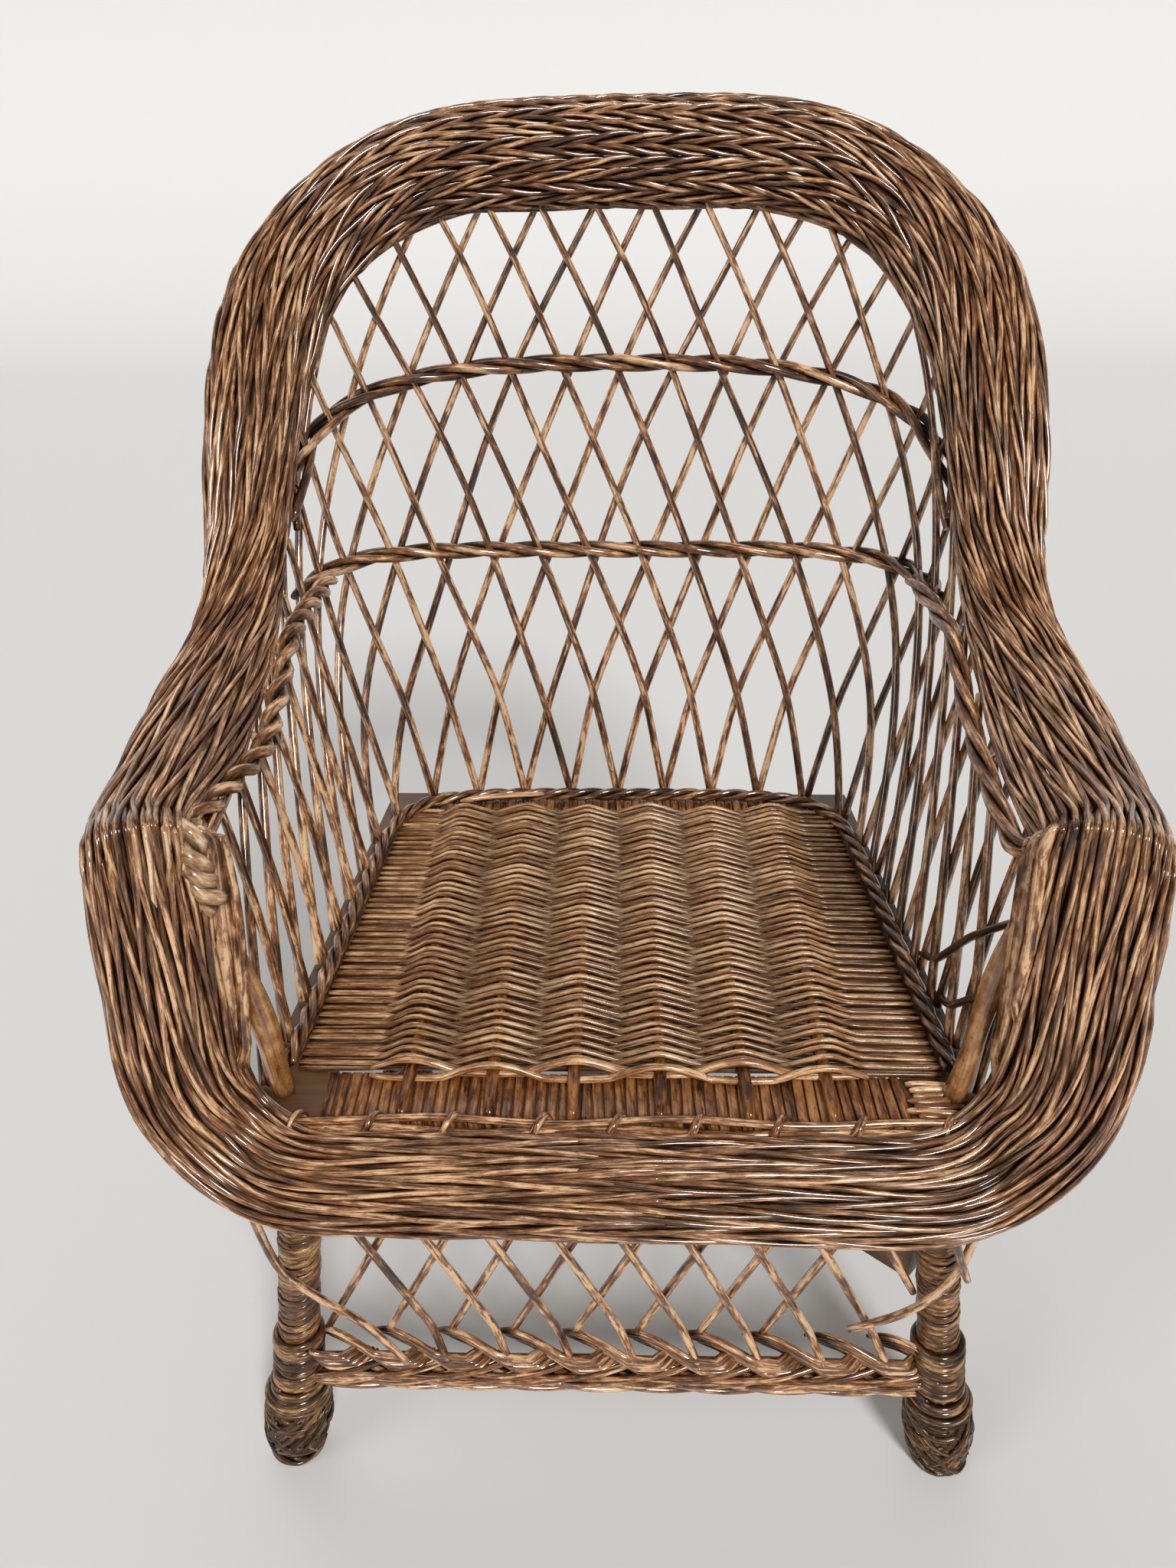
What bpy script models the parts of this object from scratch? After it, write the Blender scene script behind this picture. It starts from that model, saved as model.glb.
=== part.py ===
"""Wicker armchair with a rolled border, built from its separate pieces.

Metres, +Z up, the front of the chair towards -Y.
While the chair is being built, y = 0 is the front face of the seat frame.
At the end the whole chair is moved so that its box is centred on x = y = 0.
"""
import math

import bmesh
import bpy
import numpy as np
from mathutils import Vector

# Seat frame
RAIL_TOP = 0.400
RAIL_WIDTH = 0.044
RAIL_THICKNESS = 0.020
SEAT_FRONT_WIDTH = 0.500
SEAT_BACK_WIDTH = 0.446
WALL_DEPTH = 0.440
RAIL_LEDGE = 0.008
GAP = 0.0003

# The wall of crossed rods that makes the back and the two sides
WALL_FRONT_HALF = SEAT_FRONT_WIDTH / 2 - RAIL_LEDGE
WALL_BACK_HALF = SEAT_BACK_WIDTH / 2 - RAIL_LEDGE
WALL_FULL_HALF = 0.262
FRONT_FLARE = 0.10
FLARE_RISE = 0.30
BACK_LEAN = 0.126
CORNER_START = 0.60
CORNER_POWER = 4.8
ROD_WIDTH = 0.0066
ROD_PITCH = 0.0455
FIRST_ROW_RISE = 0.105
ROW_SPACING = 0.064
ROW_CLOSING = 0.0032
LATTICE_ROWS = 9
BACK_COLUMNS = 10
SIDE_COLUMNS = 26
SPLIT_SHIFT = 0.0065

# The rim that the wall ends on, and the roll laid over it
CROWN_HEIGHT = 0.924
ARM_HEIGHT = 0.574
SHOULDER_REACH = 0.325
SHOULDER_POWER = 4.8
ARM_FRONT = 0.046
CROWN_TILT = math.radians(16)
ARM_TILT = math.radians(86)
ROLL_HALF_WIDTH = 0.040
PILLAR_HALF_WIDTH = 0.037
APRON_HALF_WIDTH = 0.034
ROLL_SHAPE = 0.78
WAIST_AT = 0.41
WAIST_SPREAD = 0.075
WAIST_NARROWING = 0.30
ROLL_THICKNESS = 0.0055
RIB_HEIGHT = 0.0034
RIB_DIP = 0.40
ROLL_RIBS = 8
ROLL_SEAT = 0.0010
ARM_SPLIT_PAST_WAIST = 0.005
BACK_STATIONS = 14
ARM_STATIONS = 6
ROLL_TO = math.radians(165)
HOOP_RADIUS = 0.007
HOOP_CLEARANCE = 0.0012
APRON_FRONT = -0.0085
APRON_HEIGHT = 0.394
FRONT_CORNER = 0.055

# Twined bands across the back
BAND_RADIUS = 0.0042
LOWER_BAND = 0.643
UPPER_BAND = 0.802
UPPER_BAND_DIP = 0.055
BAND_CLEARANCE = 0.0012

# Seat weave, stakes, bindings and border
STAKE_COUNT = 6
STAKE_PITCH = 0.0577
STAKE_RADIUS = 0.0042
BINDING_THICKNESS = 0.0016
BINDING_LOOPS = 22
WEAVE_ROWS = 46
WEAVE_SIDE = 0.0030
WEAVE_VALLEY = 0.0065
WEAVE_SKIN = 0.0016
WEAVE_CREST = 0.0055
BORDER_RADIUS = 0.0055

# Arm posts, legs, feet and skirt
POST_RADIUS = 0.008
POST_RISE = 0.0010
POST_CLEARANCE = 0.0024
LEG_RADIUS = 0.0130
LEG_SPLAY = 0.046
LEG_SIDES = 10
WINDING_THICKNESS = 0.0024
WINDING_LOOPS = 14
FOOT_RADIUS = 0.0265
FOOT_HEIGHT = 0.086
PLAIT_HEIGHT = 0.046
PLAIT_DEPTH = 0.024
PLAIT_LEVEL = 0.117
PLAIT_STEPS = 12
SKIRT_FRONT_RODS = 9
SKIRT_PITCH = 0.0493
SKIRT_SLOPE = 0.50
SKIRT_LEVEL = 0.280
SKIRT_OFFSET = 0.012
BRACE_LEVEL = 0.222
BRACE_WIDTH = 0.045
BRACE_THICKNESS = 0.014

UP = Vector((0, 0, 1))

for item in list(bpy.data.objects):
    bpy.data.objects.remove(item)

chair = bpy.data.collections.new("wicker_armchair")
bpy.context.scene.collection.children.link(chair)
root = bpy.data.objects.new("chair_root", None)
chair.objects.link(root)


def finish(name, data, colour, roughness=0.45):
    """Add one named piece with its own material."""
    skin = bpy.data.materials.new(name + "_finish")
    skin.use_nodes = True
    shader = skin.node_tree.nodes["Principled BSDF"]
    shader.inputs["Base Color"].default_value = (*colour, 1)
    shader.inputs["Roughness"].default_value = roughness
    shader.inputs["Metallic"].default_value = 0.0
    piece = bpy.data.objects.new(name, data)
    data.materials.append(skin)
    chair.objects.link(piece)
    piece.parent = root
    return piece


def mesh_piece(name, bm, colour):
    bmesh.ops.recalc_face_normals(bm, faces=bm.faces)
    data = bpy.data.meshes.new(name)
    bm.to_mesh(data)
    bm.free()
    return finish(name, data, colour)


WILLOW = (0.30, 0.15, 0.055)
DARK_WILLOW = (0.20, 0.095, 0.035)
CANE = (0.36, 0.20, 0.075)
WOOD = (0.26, 0.13, 0.05)


def tube(name, points, radius, colour, sides=6):
    """A rod along a chain of points, with closed ends."""
    path = bpy.data.curves.new(name, "CURVE")
    path.dimensions = "3D"
    path.bevel_depth = radius
    path.bevel_resolution = (sides - 4) // 2
    path.use_fill_caps = True
    line = path.splines.new("POLY")
    line.points.add(len(points) - 1)
    for knot, point in zip(line.points, points):
        knot.co = (*point, 1)
    return finish(name, path, colour)


def loft(name, rings, colour):
    """A closed solid through a row of unlike sections."""
    bm = bmesh.new()
    rows = [[bm.verts.new(point) for point in ring] for ring in rings]
    count = len(rows[0])
    for near, far in zip(rows, rows[1:]):
        for k in range(count):
            after = (k + 1) % count
            bm.faces.new((near[k], near[after], far[after], far[k]))
    bm.faces.new(rows[0][::-1])
    bm.faces.new(rows[-1])
    return mesh_piece(name, bm, colour)


def plate(name, outline, bottom, top, colour):
    """A flat board with the given outline."""
    path = bpy.data.curves.new(name, "CURVE")
    path.dimensions = "2D"
    path.fill_mode = "BOTH"
    path.extrude = (top - bottom) / 2
    line = path.splines.new("POLY")
    line.points.add(len(outline) - 1)
    for knot, (x, y) in zip(line.points, outline):
        knot.co = (x, y, 0, 1)
    line.use_cyclic_u = True
    piece = finish(name, path, colour)
    piece.location.z = (top + bottom) / 2
    return piece


def wall_outline(z):
    """Half of the wall's plan at height z, from mid-back round to the front."""
    rise = z - RAIL_TOP
    depth = WALL_DEPTH + BACK_LEAN * rise
    front = WALL_FRONT_HALF + FRONT_FLARE * rise
    still = max(0.0, 1 - rise / FLARE_RISE) ** 2
    back = WALL_FULL_HALF - (WALL_FULL_HALF - WALL_BACK_HALF) * still
    start = CORNER_START * depth
    turn = np.linspace(0, math.pi / 2, 41)
    y = start + (depth - start) * np.abs(np.cos(turn)) ** (2 / CORNER_POWER)
    x = (front + (back - front) * y / depth) * np.sin(turn) ** (2 / CORNER_POWER)
    x = np.append(x, front)
    y = np.append(y, 0.0)
    run = np.append(0, np.cumsum(np.hypot(np.diff(x), np.diff(y))))
    return x, y, run


def wall_point(s, z):
    """The wall at a running length s from mid-back (plus is right) and a height z."""
    x, y, run = wall_outline(z)
    across = float(np.interp(abs(s), run, x))
    return Vector((math.copysign(across, s), float(np.interp(abs(s), run, y)), z))


def wall_out(s, z):
    """The direction that points out of the chair."""
    along = wall_point(s + 0.004, z) - wall_point(s - 0.004, z)
    upward = wall_point(s, z + 0.004) - wall_point(s, z - 0.004)
    return upward.cross(along).normalized()


def rim_drop(s):
    return 1 / (1 + (SHOULDER_REACH / max(abs(s), 1e-6)) ** SHOULDER_POWER)


def rim_height(s):
    return CROWN_HEIGHT - (CROWN_HEIGHT - ARM_HEIGHT) * rim_drop(s)


def rim_point(s):
    return wall_point(s, rim_height(s))


def length_at(y, z):
    """Running length at which the side of the wall reaches a given y."""
    _, ys, run = wall_outline(z)
    return float(np.interp(-y, -ys, run))


RIM_END = length_at(ARM_FRONT, ARM_HEIGHT + 0.01)


def row_height(row):
    """Heights of the rows of crossings, closer together towards the top."""
    if row == 0:
        return RAIL_TOP + GAP + ROD_WIDTH * 0.55
    steps = row - 1
    rise = steps * ROW_SPACING - ROW_CLOSING * steps * (steps - 1) / 2
    return RAIL_TOP + FIRST_ROW_RISE + rise


def diamond_net(first, last, rows, place):
    """Flat net of diamonds between two columns; the ends stay zigzag."""
    bm = bmesh.new()
    knots = {}

    def knot(j, m):
        if (j, m) not in knots:
            knots[j, m] = bm.verts.new((*place(j, m), 0))
        return knots[j, m]

    for m in range(rows + 1):
        for j in range(first + 1, last):
            if (j + m) % 2 == 0:
                continue
            corners = [(j - 1, m), (j, m - 1), (j + 1, m), (j, m + 1)]
            bm.faces.new([knot(*c) for c in corners if 0 <= c[1] <= rows])
    return bm


def cut_at_rim(bm):
    """Cut the net off along the rim and drop cells too small to weave."""
    def room(v):
        return rim_height(v.co.x) - v.co.y

    fresh = set()
    for edge in list(bm.edges):
        low, high = edge.verts
        if room(low) * room(high) >= 0:
            continue
        share = room(low) / (room(low) - room(high))
        for _ in range(6):
            spot = low.co.lerp(high.co, share)
            drift = rim_height(spot.x) - spot.y
            share += drift / (room(low) - room(high))
        fresh.add(bmesh.utils.edge_split(edge, low, share)[1])
    for face in list(bm.faces):
        ends = [v for v in face.verts if v in fresh]
        if len(ends) == 2:
            bmesh.utils.face_split(face, ends[0], ends[1])
    above = [v for v in bm.verts if v not in fresh and room(v) < 0]
    bmesh.ops.delete(bm, geom=above, context="VERTS")
    bmesh.ops.remove_doubles(bm, verts=bm.verts, dist=ROD_WIDTH)
    small = [f for f in bm.faces if 2 * f.calc_area() / f.calc_perimeter() < 0.9 * ROD_WIDTH]
    bmesh.ops.delete(bm, geom=small, context="FACES")


def net_piece(name, bm, to_space):
    """Turn a flat net into rods on its surface."""
    for v in bm.verts:
        v.co = to_space(v.co.x, v.co.y)
    piece = mesh_piece(name, bm, WILLOW)
    rods = piece.modifiers.new("rods", "WIREFRAME")
    rods.thickness = ROD_WIDTH
    rods.use_even_offset = True
    rods.use_boundary = True
    rods.use_replace = True
    return piece


def wall_knot(split, lift):
    """Place of a crossing; the columns where two nets meet stand a little apart."""
    def place(j, m):
        s = j * ROD_PITCH / 2
        if abs(j) == BACK_COLUMNS:
            s += math.copysign(SPLIT_SHIFT, s) * split
        return s, row_height(m) + (0 if m else lift)
    return place


net = diamond_net(-BACK_COLUMNS, BACK_COLUMNS, LATTICE_ROWS, wall_knot(-1, BINDING_THICKNESS + GAP))
cut_at_rim(net)
net_piece("back_lattice", net, wall_point)
for side, first, last in (("left", -SIDE_COLUMNS, -BACK_COLUMNS),
                          ("right", BACK_COLUMNS, SIDE_COLUMNS)):
    net = diamond_net(first, last, LATTICE_ROWS, wall_knot(1, 0))
    cut_at_rim(net)
    net_piece(side + "_side_lattice", net, wall_point)

# Twined bands: one weaver inside the wall and one outside it
for name, level, dip, reach in (("lower_band", LOWER_BAND, 0.0, SIDE_COLUMNS * ROD_PITCH / 2 - 0.02),
                                ("upper_band", UPPER_BAND, UPPER_BAND_DIP, 0.300)):
    steps = 16 if dip else 20
    for face, way, spare in (("inner", -1, BAND_CLEARANCE), ("outer", 1, 0.7 * BAND_CLEARANCE)):
        points = []
        for k in range(-steps, steps + 1):
            s = reach * k / steps
            z = level - dip * abs(k / steps) ** 3
            z = min(z, rim_height(s) - 0.016)
            step = ROD_WIDTH / 2 + BAND_RADIUS + spare
            points.append(wall_point(s, z) + wall_out(s, z) * step * way)
        tube(name + "_" + face + "_weaver", points, BAND_RADIUS, WILLOW)


def roll_start(height):
    """Turn at which the arc of the roll starts, just clear of the rods of the rim."""
    return math.asin((ROD_WIDTH / 2 + ROLL_SEAT) / height)


def section(edge, out, face, half, height, beat):
    """One section of the roll: an arc that starts just off the rim, with every other rib swollen."""
    front = []
    back = []
    start = roll_start(height)
    for k in range(2 * ROLL_RIBS + 1):
        turn = start + (ROLL_TO - start) * k / (2 * ROLL_RIBS)
        spot = edge + out * half * (1 - math.cos(turn)) + face * height * math.sin(turn)
        skew = -out * height * math.cos(turn) + face * half * math.sin(turn)
        skew.normalize()
        lift = ROLL_THICKNESS / 2
        if k % 2:
            lift += RIB_HEIGHT * (1 if (k // 2 + beat) % 2 else RIB_DIP)
        front.append(spot + skew * lift)
        if k % 4 == 0:
            back.append(spot - skew * ROLL_THICKNESS / 2)
    return front + back[::-1]


def rim_station(s):
    """Edge point, running direction, outward and facing directions on the rim."""
    edge = rim_point(s)
    run = (rim_point(s + 0.004) - rim_point(s - 0.004)).normalized()
    off = wall_out(s, rim_height(s))
    off = (off - run * off.dot(run)).normalized()
    above = run.cross(off).normalized()
    tilt = CROWN_TILT + (ARM_TILT - CROWN_TILT) * rim_drop(s)
    out = above * math.cos(tilt) + off * math.sin(tilt)
    return edge, run, out, run.cross(out)


def front_station(t):
    """The same for the front: t = 0 at the arm, 1 at the middle of the apron."""
    top = rim_point(RIM_END)
    foot = Vector((SEAT_FRONT_WIDTH / 2 + 0.004, ARM_FRONT * 0.35, APRON_HEIGHT))
    middle = Vector((0, APRON_FRONT, APRON_HEIGHT))

    def path(u):
        bend = 0.34
        if u < bend:
            return top.lerp(foot + UP * FRONT_CORNER, u / bend)
        inner = Vector((foot.x - FRONT_CORNER, APRON_FRONT, APRON_HEIGHT))
        if u < 0.62:
            w = (u - bend) / (0.62 - bend)
            start = foot + UP * FRONT_CORNER
            return start * (1 - w) ** 2 + foot * 2 * w * (1 - w) + inner * w * w
        return inner.lerp(middle, (u - 0.62) / 0.38)

    edge = path(min(t, 1.0))
    run = (path(min(t + 0.01, 1.0)) - path(max(t - 0.01, 0.0))).normalized()
    pillar = Vector((0.90, -0.42, 0.05))
    apron = Vector((0.0, -0.84, -0.54))
    share = min(max((t - 0.30) / 0.34, 0), 1)
    out = pillar.lerp(apron, share)
    out = (out - run * out.dot(run)).normalized()
    half = PILLAR_HALF_WIDTH + (APRON_HALF_WIDTH - PILLAR_HALF_WIDTH) * share
    return edge, run, out, run.cross(out), half


def mirrored(ring):
    return [Vector((-p.x, p.y, p.z)) for p in ring]


def moved(ring, run, step):
    return [p + run * step for p in ring]


# Stations round the rim, half a twist of its ropes apart, and down the front
arm_split = WAIST_AT + ARM_SPLIT_PAST_WAIST
back_runs = [arm_split * k / BACK_STATIONS for k in range(BACK_STATIONS + 1)]
arm_runs = [arm_split + (RIM_END - arm_split) * k / ARM_STATIONS for k in range(ARM_STATIONS + 1)]
front_runs = [0.0, 0.12, 0.24, 0.34, 0.42, 0.50, 0.56, 0.62, 0.74, 0.87, 1.0]


def half_at(s):
    """Half width of the roll, which narrows at the waist between back and arm."""
    full = ROLL_HALF_WIDTH + (PILLAR_HALF_WIDTH - ROLL_HALF_WIDTH) * s / RIM_END
    return full * (1 - WAIST_NARROWING * math.exp(-((s - WAIST_AT) / WAIST_SPREAD) ** 2))


def rim_ring(s, beat):
    edge, run, out, face = rim_station(s)
    return section(edge, out, face, half_at(s), half_at(s) * ROLL_SHAPE, beat)


def hoop_spot(edge, out, face, half):
    """Centre of the hoop, laid against the inside of the roll."""
    start = roll_start(half * ROLL_SHAPE)
    chord = math.sin(start + (ROLL_TO - start) / 2)
    under = half * ROLL_SHAPE * chord - ROLL_THICKNESS / 2 - HOOP_RADIUS - HOOP_CLEARANCE
    return edge + out * half + face * under


# The mitre ring where the arm turns down into the front
edge, run_arm, out_arm, face_arm = rim_station(RIM_END)
_, run_front, out_front, face_front, half_front = front_station(0.0)
mitre_out = (out_arm + out_front).normalized()
mitre_face = (face_arm + face_front).normalized()
mitre_height = PILLAR_HALF_WIDTH * ROLL_SHAPE / max(0.6, mitre_face.dot(face_arm))
mitre = section(edge, mitre_out, mitre_face, PILLAR_HALF_WIDTH, mitre_height, BACK_STATIONS + ARM_STATIONS)
mitre_hoop = edge + mitre_out * PILLAR_HALF_WIDTH
mitre_hoop += mitre_face * (mitre_height * 0.9 - (ROLL_THICKNESS / 2 + HOOP_RADIUS + HOOP_CLEARANCE) * 1.4)

back_half = [rim_ring(s, k) for k, s in enumerate(back_runs)]
back_half[-1] = moved(back_half[-1], rim_station(arm_split)[1], -GAP)
loft("back_roll", [mirrored(r) for r in back_half[:0:-1]] + back_half, WILLOW)

arm = [rim_ring(s, BACK_STATIONS + k) for k, s in enumerate(arm_runs[:-1])] + [moved(mitre, run_arm, -GAP)]
loft("right_arm_roll", arm, WILLOW)
loft("left_arm_roll", [mirrored(r) for r in arm], WILLOW)

front = [moved(mitre, run_front, GAP)]
front_hoop = [mitre_hoop + run_front * (HOOP_RADIUS + GAP)]
for k, t in enumerate(front_runs[1:]):
    edge, run, out, face, half = front_station(t)
    front.append(section(edge, out, face, half, half * ROLL_SHAPE, BACK_STATIONS + ARM_STATIONS + k + 1))
    front_hoop.append(hoop_spot(edge, out, face, half))
loft("front_roll", front + [mirrored(r) for r in front[-2::-1]], WILLOW)
tube("front_hoop", front_hoop + mirrored(front_hoop[-2::-1]), HOOP_RADIUS, WOOD)

hoop = []
for s in back_runs + arm_runs[1:-1]:
    edge, run, out, face = rim_station(s)
    hoop.append(hoop_spot(edge, out, face, half_at(s)))
hoop.append(mitre_hoop - run_arm * (HOOP_RADIUS + GAP))
tube("rim_hoop", mirrored(hoop[:0:-1]) + hoop, HOOP_RADIUS, WOOD)

# Seat frame: the side rails butt between the front and back rails
bottom = RAIL_TOP - RAIL_THICKNESS
frame_back = WALL_DEPTH + RAIL_LEDGE


def frame_half(y):
    return (SEAT_FRONT_WIDTH + (SEAT_BACK_WIDTH - SEAT_FRONT_WIDTH) * y / frame_back) / 2


def cross_rail(name, y0, y1):
    outline = [(-frame_half(y0), y0), (frame_half(y0), y0), (frame_half(y1), y1), (-frame_half(y1), y1)]
    plate(name, outline, bottom, RAIL_TOP, WOOD)


cross_rail("front_seat_rail", 0.0, RAIL_WIDTH)
cross_rail("back_seat_rail", frame_back - RAIL_WIDTH, frame_back)
side_y0 = RAIL_WIDTH + GAP
side_y1 = frame_back - RAIL_WIDTH - GAP
for side, sign in (("left", -1), ("right", 1)):
    outline = [(sign * frame_half(side_y0), side_y0), (sign * frame_half(side_y1), side_y1),
               (sign * (frame_half(side_y1) - RAIL_WIDTH), side_y1),
               (sign * (frame_half(side_y0) - RAIL_WIDTH), side_y0)]
    plate(side + "_seat_rail", outline, bottom, RAIL_TOP, WOOD)


def binding(name, y0, y1, half_length):
    """Cane wound round a rail: one unbroken strip whose turns do not touch."""
    pitch = 2 * half_length / BINDING_LOOPS
    width = pitch - 0.0012
    corners = [(y0, RAIL_TOP), (y1, RAIL_TOP), (y1, bottom), (y0, bottom)]
    centre = Vector((0, (y0 + y1) / 2, (RAIL_TOP + bottom) / 2))
    rings = []
    for k in range(4 * BINDING_LOOPS + 1):
        y, z = corners[k % 4]
        x = -half_length + pitch * k / 4
        corner = Vector((x, y, z))
        out_y = math.copysign(1, y - centre.y)
        out_z = math.copysign(1, z - centre.z)
        inside = corner + Vector((0, out_y, out_z)) * GAP
        outside = corner + Vector((0, out_y, out_z)) * (GAP + BINDING_THICKNESS)
        side = Vector((width / 2, 0, 0))
        rings.append([inside - side, inside + side, outside + side, outside - side])
    loft(name, rings, CANE)
    return pitch - width


binding_half = SEAT_FRONT_WIDTH / 2 - 0.052
least_gap = binding("front_rail_binding", 0.0, RAIL_WIDTH, binding_half)
binding("back_rail_binding", frame_back - RAIL_WIDTH, frame_back, binding_half - 0.025)
print("least gap between turns of the rail binding", round(least_gap * 1000, 3), "mm")

# Seat border: a twisted strand laid on the rails just inside the wall
border_level = RAIL_TOP + GAP + BINDING_THICKNESS + GAP + BORDER_RADIUS
border_in = ROD_WIDTH * 0.62 + BORDER_RADIUS + 0.0006
border = []
border_end = length_at(RAIL_WIDTH + 0.004, border_level)
for k in range(-18, 19):
    s = border_end * k / 18
    border.append(wall_point(s, border_level) - wall_out(s, border_level) * border_in)
tube("seat_border", border, BORDER_RADIUS, WILLOW)

# Seat stakes lie on the bound rails, and the weave humps over them
stake_level = RAIL_TOP + 2 * GAP + BINDING_THICKNESS + STAKE_RADIUS
weave_front = RAIL_WIDTH + 0.005
weave_back = frame_back - RAIL_WIDTH - 0.004
for k in range(STAKE_COUNT):
    x = (k - (STAKE_COUNT - 1) / 2) * STAKE_PITCH
    points = [Vector((x, frame_back - RAIL_WIDTH * 0.78, stake_level)), Vector((x, -0.0015, stake_level))]
    tube("seat_stake_%d" % (k + 1), points, STAKE_RADIUS, CANE, sides=8)


def weave_section(row):
    """Section of the seat weave across the chair: flat sides, and rods over every other stake."""
    y = weave_front + (weave_back - weave_front) * row / WEAVE_ROWS
    half = frame_half(y) - RAIL_LEDGE - ROD_WIDTH - 2 * BORDER_RADIUS - 0.004
    flat = RAIL_TOP + GAP
    clear = STAKE_RADIUS + GAP
    arch = stake_level + clear * 1.01 * math.hypot(1, (clear + stake_level - flat) / (STAKE_PITCH / 2))
    spots = [(-half, flat, flat + WEAVE_SIDE)]
    for k in range(STAKE_COUNT):
        x = (k - (STAKE_COUNT - 1) / 2) * STAKE_PITCH
        spots.append((x - STAKE_PITCH / 2, flat, flat + WEAVE_VALLEY))
        spots.append((x, arch, arch + (WEAVE_SKIN if (k + row) % 2 else WEAVE_CREST)))
    spots.append((x + STAKE_PITCH / 2, flat, flat + WEAVE_VALLEY))
    spots.append((half, flat, flat + WEAVE_SIDE))
    under = [Vector((x, y, low)) for x, low, high in spots]
    over = [Vector((x, y, high)) for x, low, high in spots]
    return under + over[::-1]


loft("seat_weave", [weave_section(row) for row in range(WEAVE_ROWS + 1)], CANE)

# Arm posts stand on the front corners of the frame and carry the arms
post_top, _, post_out, post_face, _ = front_station(0.0)
post_foot = Vector((SEAT_FRONT_WIDTH / 2 - 0.022, 0.026, RAIL_TOP + GAP))
behind = POST_RADIUS + POST_CLEARANCE - ROD_WIDTH / 2 - ROLL_SEAT
post_head = post_top + post_out * POST_RADIUS * 0.7 - post_face * behind + UP * POST_RISE
for side, sign in (("left", -1), ("right", 1)):
    ends = [Vector((sign * p.x, p.y, p.z)) for p in (post_foot, post_foot + UP * 0.02, post_head)]
    tube(side + "_arm_post", ends, POST_RADIUS, WOOD, sides=8)


def shear(piece, foot, top, height):
    """Lean a piece without tipping its level ends."""
    lean = (top - foot) / height
    for v in piece.data.vertices:
        z = v.co.z
        v.co.x += foot.x + lean.x * z
        v.co.y += foot.y + lean.y * z


def foot_knob(name):
    """Woven knob foot: turned, flat below, bored for the leg."""
    profile = [(0.0, FOOT_HEIGHT * 0.25), (LEG_RADIUS + 0.0006, FOOT_HEIGHT * 0.25),
               (LEG_RADIUS + 0.0006, FOOT_HEIGHT), (LEG_RADIUS * 1.45, FOOT_HEIGHT),
               (FOOT_RADIUS * 0.92, FOOT_HEIGHT * 0.72), (FOOT_RADIUS, FOOT_HEIGHT * 0.45),
               (FOOT_RADIUS * 0.88, FOOT_HEIGHT * 0.18), (FOOT_RADIUS * 0.62, 0.0), (0.0, 0.0)]
    bm = bmesh.new()
    row = [bm.verts.new((r, 0, z)) for r, z in profile]
    for a, b in zip(row, row[1:]):
        bm.edges.new((a, b))
    bmesh.ops.spin(bm, geom=bm.verts[:] + bm.edges[:], axis=UP, cent=(0, 0, 0),
                   steps=LEG_SIDES, angle=math.tau, use_merge=True)
    bmesh.ops.remove_doubles(bm, verts=bm.verts, dist=0.00005)
    return mesh_piece(name, bm, DARK_WILLOW)


def leg_winding(name, low, high):
    """Cane wound round a leg: one unbroken strip, turns apart."""
    pitch = (high - low) / (WINDING_LOOPS + 1)
    width = pitch - 0.0010
    inner = LEG_RADIUS + 2 * GAP
    rings = []
    for k in range(LEG_SIDES * WINDING_LOOPS + 1):
        turn = math.tau * k / LEG_SIDES
        way = Vector((math.cos(turn), math.sin(turn), 0))
        middle = low + pitch / 2 + pitch * k / LEG_SIDES
        lift = UP * width / 2
        base = UP * middle
        near = way * inner
        far = way * (inner + WINDING_THICKNESS)
        rings.append([base + near - lift, base + near + lift, base + far + lift, base + far - lift])
    loft(name, rings, CANE)
    return pitch - width


# Legs, feet and windings, all leaning outwards together
leg_top = bottom - GAP
spots = {}
front_x = SEAT_FRONT_WIDTH / 2 - 0.026
back_x = SEAT_BACK_WIDTH / 2 - 0.026
for end, x, y, reach in (("front", front_x, 0.038, -0.008), ("back", back_x, frame_back - 0.030, 0.030)):
    for side, sign in (("left", -1), ("right", 1)):
        name = end + "_" + side
        top = Vector((sign * x, y, leg_top))
        foot = Vector((sign * (x + LEG_SPLAY), y + reach, 0))
        spots[name] = (foot, top)
        low = FOOT_HEIGHT * 0.25 + GAP
        bpy.ops.mesh.primitive_cone_add(vertices=LEG_SIDES, radius1=LEG_RADIUS, radius2=LEG_RADIUS,
                                        depth=leg_top - low, location=(0, 0, 0))
        blank = bpy.context.object
        data = blank.data
        bpy.data.objects.remove(blank)
        for v in data.vertices:
            v.co.z += (leg_top + low) / 2
        for v in data.vertices:
            v.co.x, v.co.y = v.co.y, -v.co.x
        leg = finish(name + "_leg", data, WOOD)
        shear(leg, foot, top, leg_top)
        knob = foot_knob(name + "_foot")
        shear(knob, foot, top, leg_top)
        spare = leg_winding(name + "_leg_winding", PLAIT_LEVEL + PLAIT_HEIGHT / 2 + 0.004, bottom - 0.012)
        shear(bpy.data.objects[name + "_leg_winding"], foot, top, leg_top)
print("least gap between turns of a leg winding", round(spare * 1000, 3), "mm")


def on_axis(name, z):
    foot, top = spots[name]
    spot = foot.lerp(top, z / leg_top)
    spot.z = z
    return spot


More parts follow.
